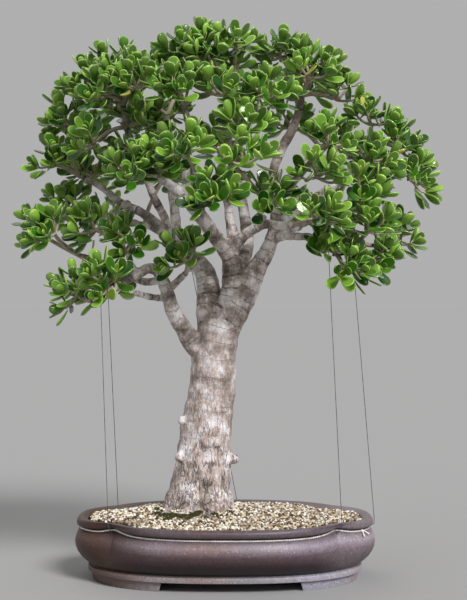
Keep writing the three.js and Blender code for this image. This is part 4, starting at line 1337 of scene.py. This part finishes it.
blade = fresh(
    bpy.ops.mesh.primitive_cone_add, vertices=3, radius1=1, radius2=0.25, depth=1, end_fill_type="NGON"
)
moss_draw = seeded(MOSS_SEED)
moss_spots = moss_places(moss_draw)
cushions = copies("moss", blade, moss_spots, tint=[moss_draw() for _ in moss_spots])
bpy.data.objects.remove(blade)
ready(cushions, "moss_cushions", moss(), "gravel")


# %% [markdown]
# An off-white twisted string lies in the groove under the lip, and the guy wires are tied to it. Two
# strands wind round each other along the pot's own outline, which is what a twist looks like up close.
# It is knotted at the right, with two loose tails. Cotton is matt and a little fuzzy, which a high
# roughness and a faint sheen give, and soil has greyed it in soft patches.

# %% Tie string
STRING = {"inset": 7.6, "height": 88.2, "strand": 0.92, "twist": 0.8, "pitch": 9, "step": 1.5}
KNOT_AT = LONG_STEPS + END_STEPS // 5
KNOT = {"inset": 6, "tilt": 0.5, "loop": (2.2, 1.5), "strand": 0.8}
TAIL = {"reach": 7, "inset": -1.6, "droops": (9, 6), "rise": 1.5, "strand": 1.3}


def stained(name, size, tones, looks):
    """A plain material whose tone changes in soft patches of this size in millimetres."""
    material, tree, surface, place = new_material(name)
    patches = add(tree, "TexNoise", {"Vector": place, "Scale": per_mm(size), "Detail": 3.0})
    feed(tree, surface, {"Base Color": add(tree, "ValToRGB", {0: patches}, stops=tones), **looks})
    return material


COTTON_TONES = [(0.3, "#d8d2c8"), (0.5, "#f3f0ea"), (0.7, "#ffffff")]
COTTON = stained("twisted_cotton_string", 18, COTTON_TONES, {"Roughness": 0.9, "Sheen Weight": 0.3})


def strand(phase):
    """One strand of the string, wound round the outline."""
    ring = outline(STRING["inset"], STRING["height"])
    fine = []
    for a, b in zip(ring, ring[1:] + ring[:1]):
        count = max(1, round((b - a).length / (STRING["step"] * MM)))
        fine += [a.lerp(b, i / count) for i in range(count)]
    turns = round(sum((b - a).length for a, b in zip(fine, fine[1:])) / (STRING["pitch"] * MM))
    places = []
    for i, point in enumerate(fine):
        turn = 2 * math.pi * turns * i / len(fine) + phase
        outward = Vector((point.x, point.y, 0)).normalized()
        around = outward * math.cos(turn) + UP * math.sin(turn)
        places.append((point + around * STRING["strand"] * STRING["twist"] * MM, STRING["strand"] * MM))
    return places


def tail(start, end):
    """A loose end of both strands, bowed a little upwards."""
    middle = start.lerp(end, 0.5) + UP * TAIL["rise"] * MM
    path = [start.lerp(middle, t).lerp(middle.lerp(end, t), t) for t in (0, 0.2, 0.4, 0.6, 0.8, 1)]
    return [(point, STRING["strand"] * TAIL["strand"] * MM) for point in path]


def knot_parts():
    """Two crossed loops in front of the string, and its two tails."""
    out, beyond = outline(KNOT["inset"], STRING["height"])[KNOT_AT : KNOT_AT + 2]
    along = Vector((beyond.x - out.x, beyond.y - out.y, 0)).normalized()
    inward = along.cross(UP).normalized()
    long_way, short_way = KNOT["loop"]
    parts = []
    for tilt in (-KNOT["tilt"], KNOT["tilt"]):
        side = (along * math.cos(tilt) + UP * math.sin(tilt)).normalized()
        over = side.cross(inward)
        turns = [i * math.pi / 5 for i in range(11)]
        loop = [side * math.cos(turn) * long_way + over * math.sin(turn) * short_way for turn in turns]
        parts.append([(out + point * MM, KNOT["strand"] * MM) for point in loop])
    for aside, low in zip((-1, 1), TAIL["droops"]):
        below = outline(TAIL["inset"], STRING["height"] - low)[KNOT_AT]
        parts.append(tail(out, below + along * aside * TAIL["reach"] * MM))
    return parts


cord = stem_curve("string", [strand(0), strand(math.pi)], 0)
for spline in cord.data.splines:
    spline.use_cyclic_u = True
cord = as_mesh(cord)
join(cord, as_mesh(stem_curve("knot", knot_parts(), 1)))
smooth_by_angle(cord, 70)
ready(cord, "tie_string", COTTON, "string", "rim_string")


# %% [markdown]
# The guy wires and the drain screens are plain in the real thing too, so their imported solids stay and
# get a finish. Drawn steel wire dulls out of doors to a half-rough metal with browner patches, and the
# screens are moulded black polyethylene, smooth under some dust.

# %% Wire and screens
STEEL_TONES = [(0.35, "#5d5a58"), (0.6, "#8c8c8e")]
MESH_TONES = [(0.4, "#15170f"), (0.7, "#34352c")]
finishes = {
    "guy_wire": stained("weathered_steel_wire", 10, STEEL_TONES, {"Metallic": 1.0, "Roughness": 0.42}),
    "drain_screen": stained("moulded_polyethylene", 6, MESH_TONES, {"Roughness": 0.5}),
}
for name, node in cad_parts.items():
    for start, material in finishes.items():
        if name.startswith(start):
            node.data.materials.clear()
            node.data.materials.append(material)
            print(name, "gets", material.name)


# %% [markdown]
# The stage is a plain pale floor that runs far back, under a pale even sky as bright as the lit floor,
# so that the two meet without a line. A wide soft light from the upper right in front models the trunk
# and puts the highlights on the leaves. Weaker ones come from the left and from behind.

# %% Floor and light
FLOOR_METRES = 400
FLOOR_TONE = "#a2a1a1"
SKY_STRENGTH = 0.43


def paper():
    material, tree, surface, _ = new_material("pale_matt_paper")
    feed(tree, surface, {"Base Color": linear(FLOOR_TONE), "Roughness": 1.0, "Specular IOR Level": 0.0})
    return material


floor = fresh(bpy.ops.mesh.primitive_plane_add, size=FLOOR_METRES)
floor.name = "floor"
floor.data.materials.append(paper())

world = bpy.data.worlds.new("studio")
world.use_nodes = True
sky = world.node_tree.nodes["Background"]
feed(world.node_tree, sky, {"Color": linear("#ffffff"), "Strength": SKY_STRENGTH})
bpy.context.scene.world = world


def soft_light(name, direction, spread, strength):
    """A wide light from far away, that shines along a direction."""
    bpy.ops.object.light_add(type="SUN", rotation=Vector(direction).to_track_quat("-Z", "Y").to_euler())
    light = bpy.context.object
    light.name = name
    light.data.angle = math.radians(spread)
    light.data.energy = strength


soft_light("key", (-0.62, 1.0, -1.0), 22, 3.05)
soft_light("fill", (1.0, 0.6, -0.6), 50, 0.22)
soft_light("rim", (0.4, -1.0, -1.2), 40, 0.42)


# %% [markdown]
# The photograph was taken from straight in front, level with the middle of the plant, from about two
# and a half metres. A level camera with a small shift gives the same framing with upright uprights.

# %% Camera
CAMERA_PLACE = Vector((0, -2400, 470)) * MM
FOCAL_PIXELS = 1371.4
FRAME_HEIGHT = 600
SHIFT_PIXELS = (8.5, 5.6)
SENSOR = 36

bpy.ops.object.camera_add(location=CAMERA_PLACE, rotation=(math.pi / 2, 0, 0))
camera = bpy.context.object
camera.data.sensor_width = SENSOR
camera.data.lens = SENSOR * FOCAL_PIXELS / FRAME_HEIGHT
camera.data.shift_x = SHIFT_PIXELS[0] / FRAME_HEIGHT
camera.data.shift_y = SHIFT_PIXELS[1] / FRAME_HEIGHT
bpy.context.scene.camera = camera
bpy.context.scene.view_settings.view_transform = "Standard"
print("lens", round(camera.data.lens, 1), "mm")
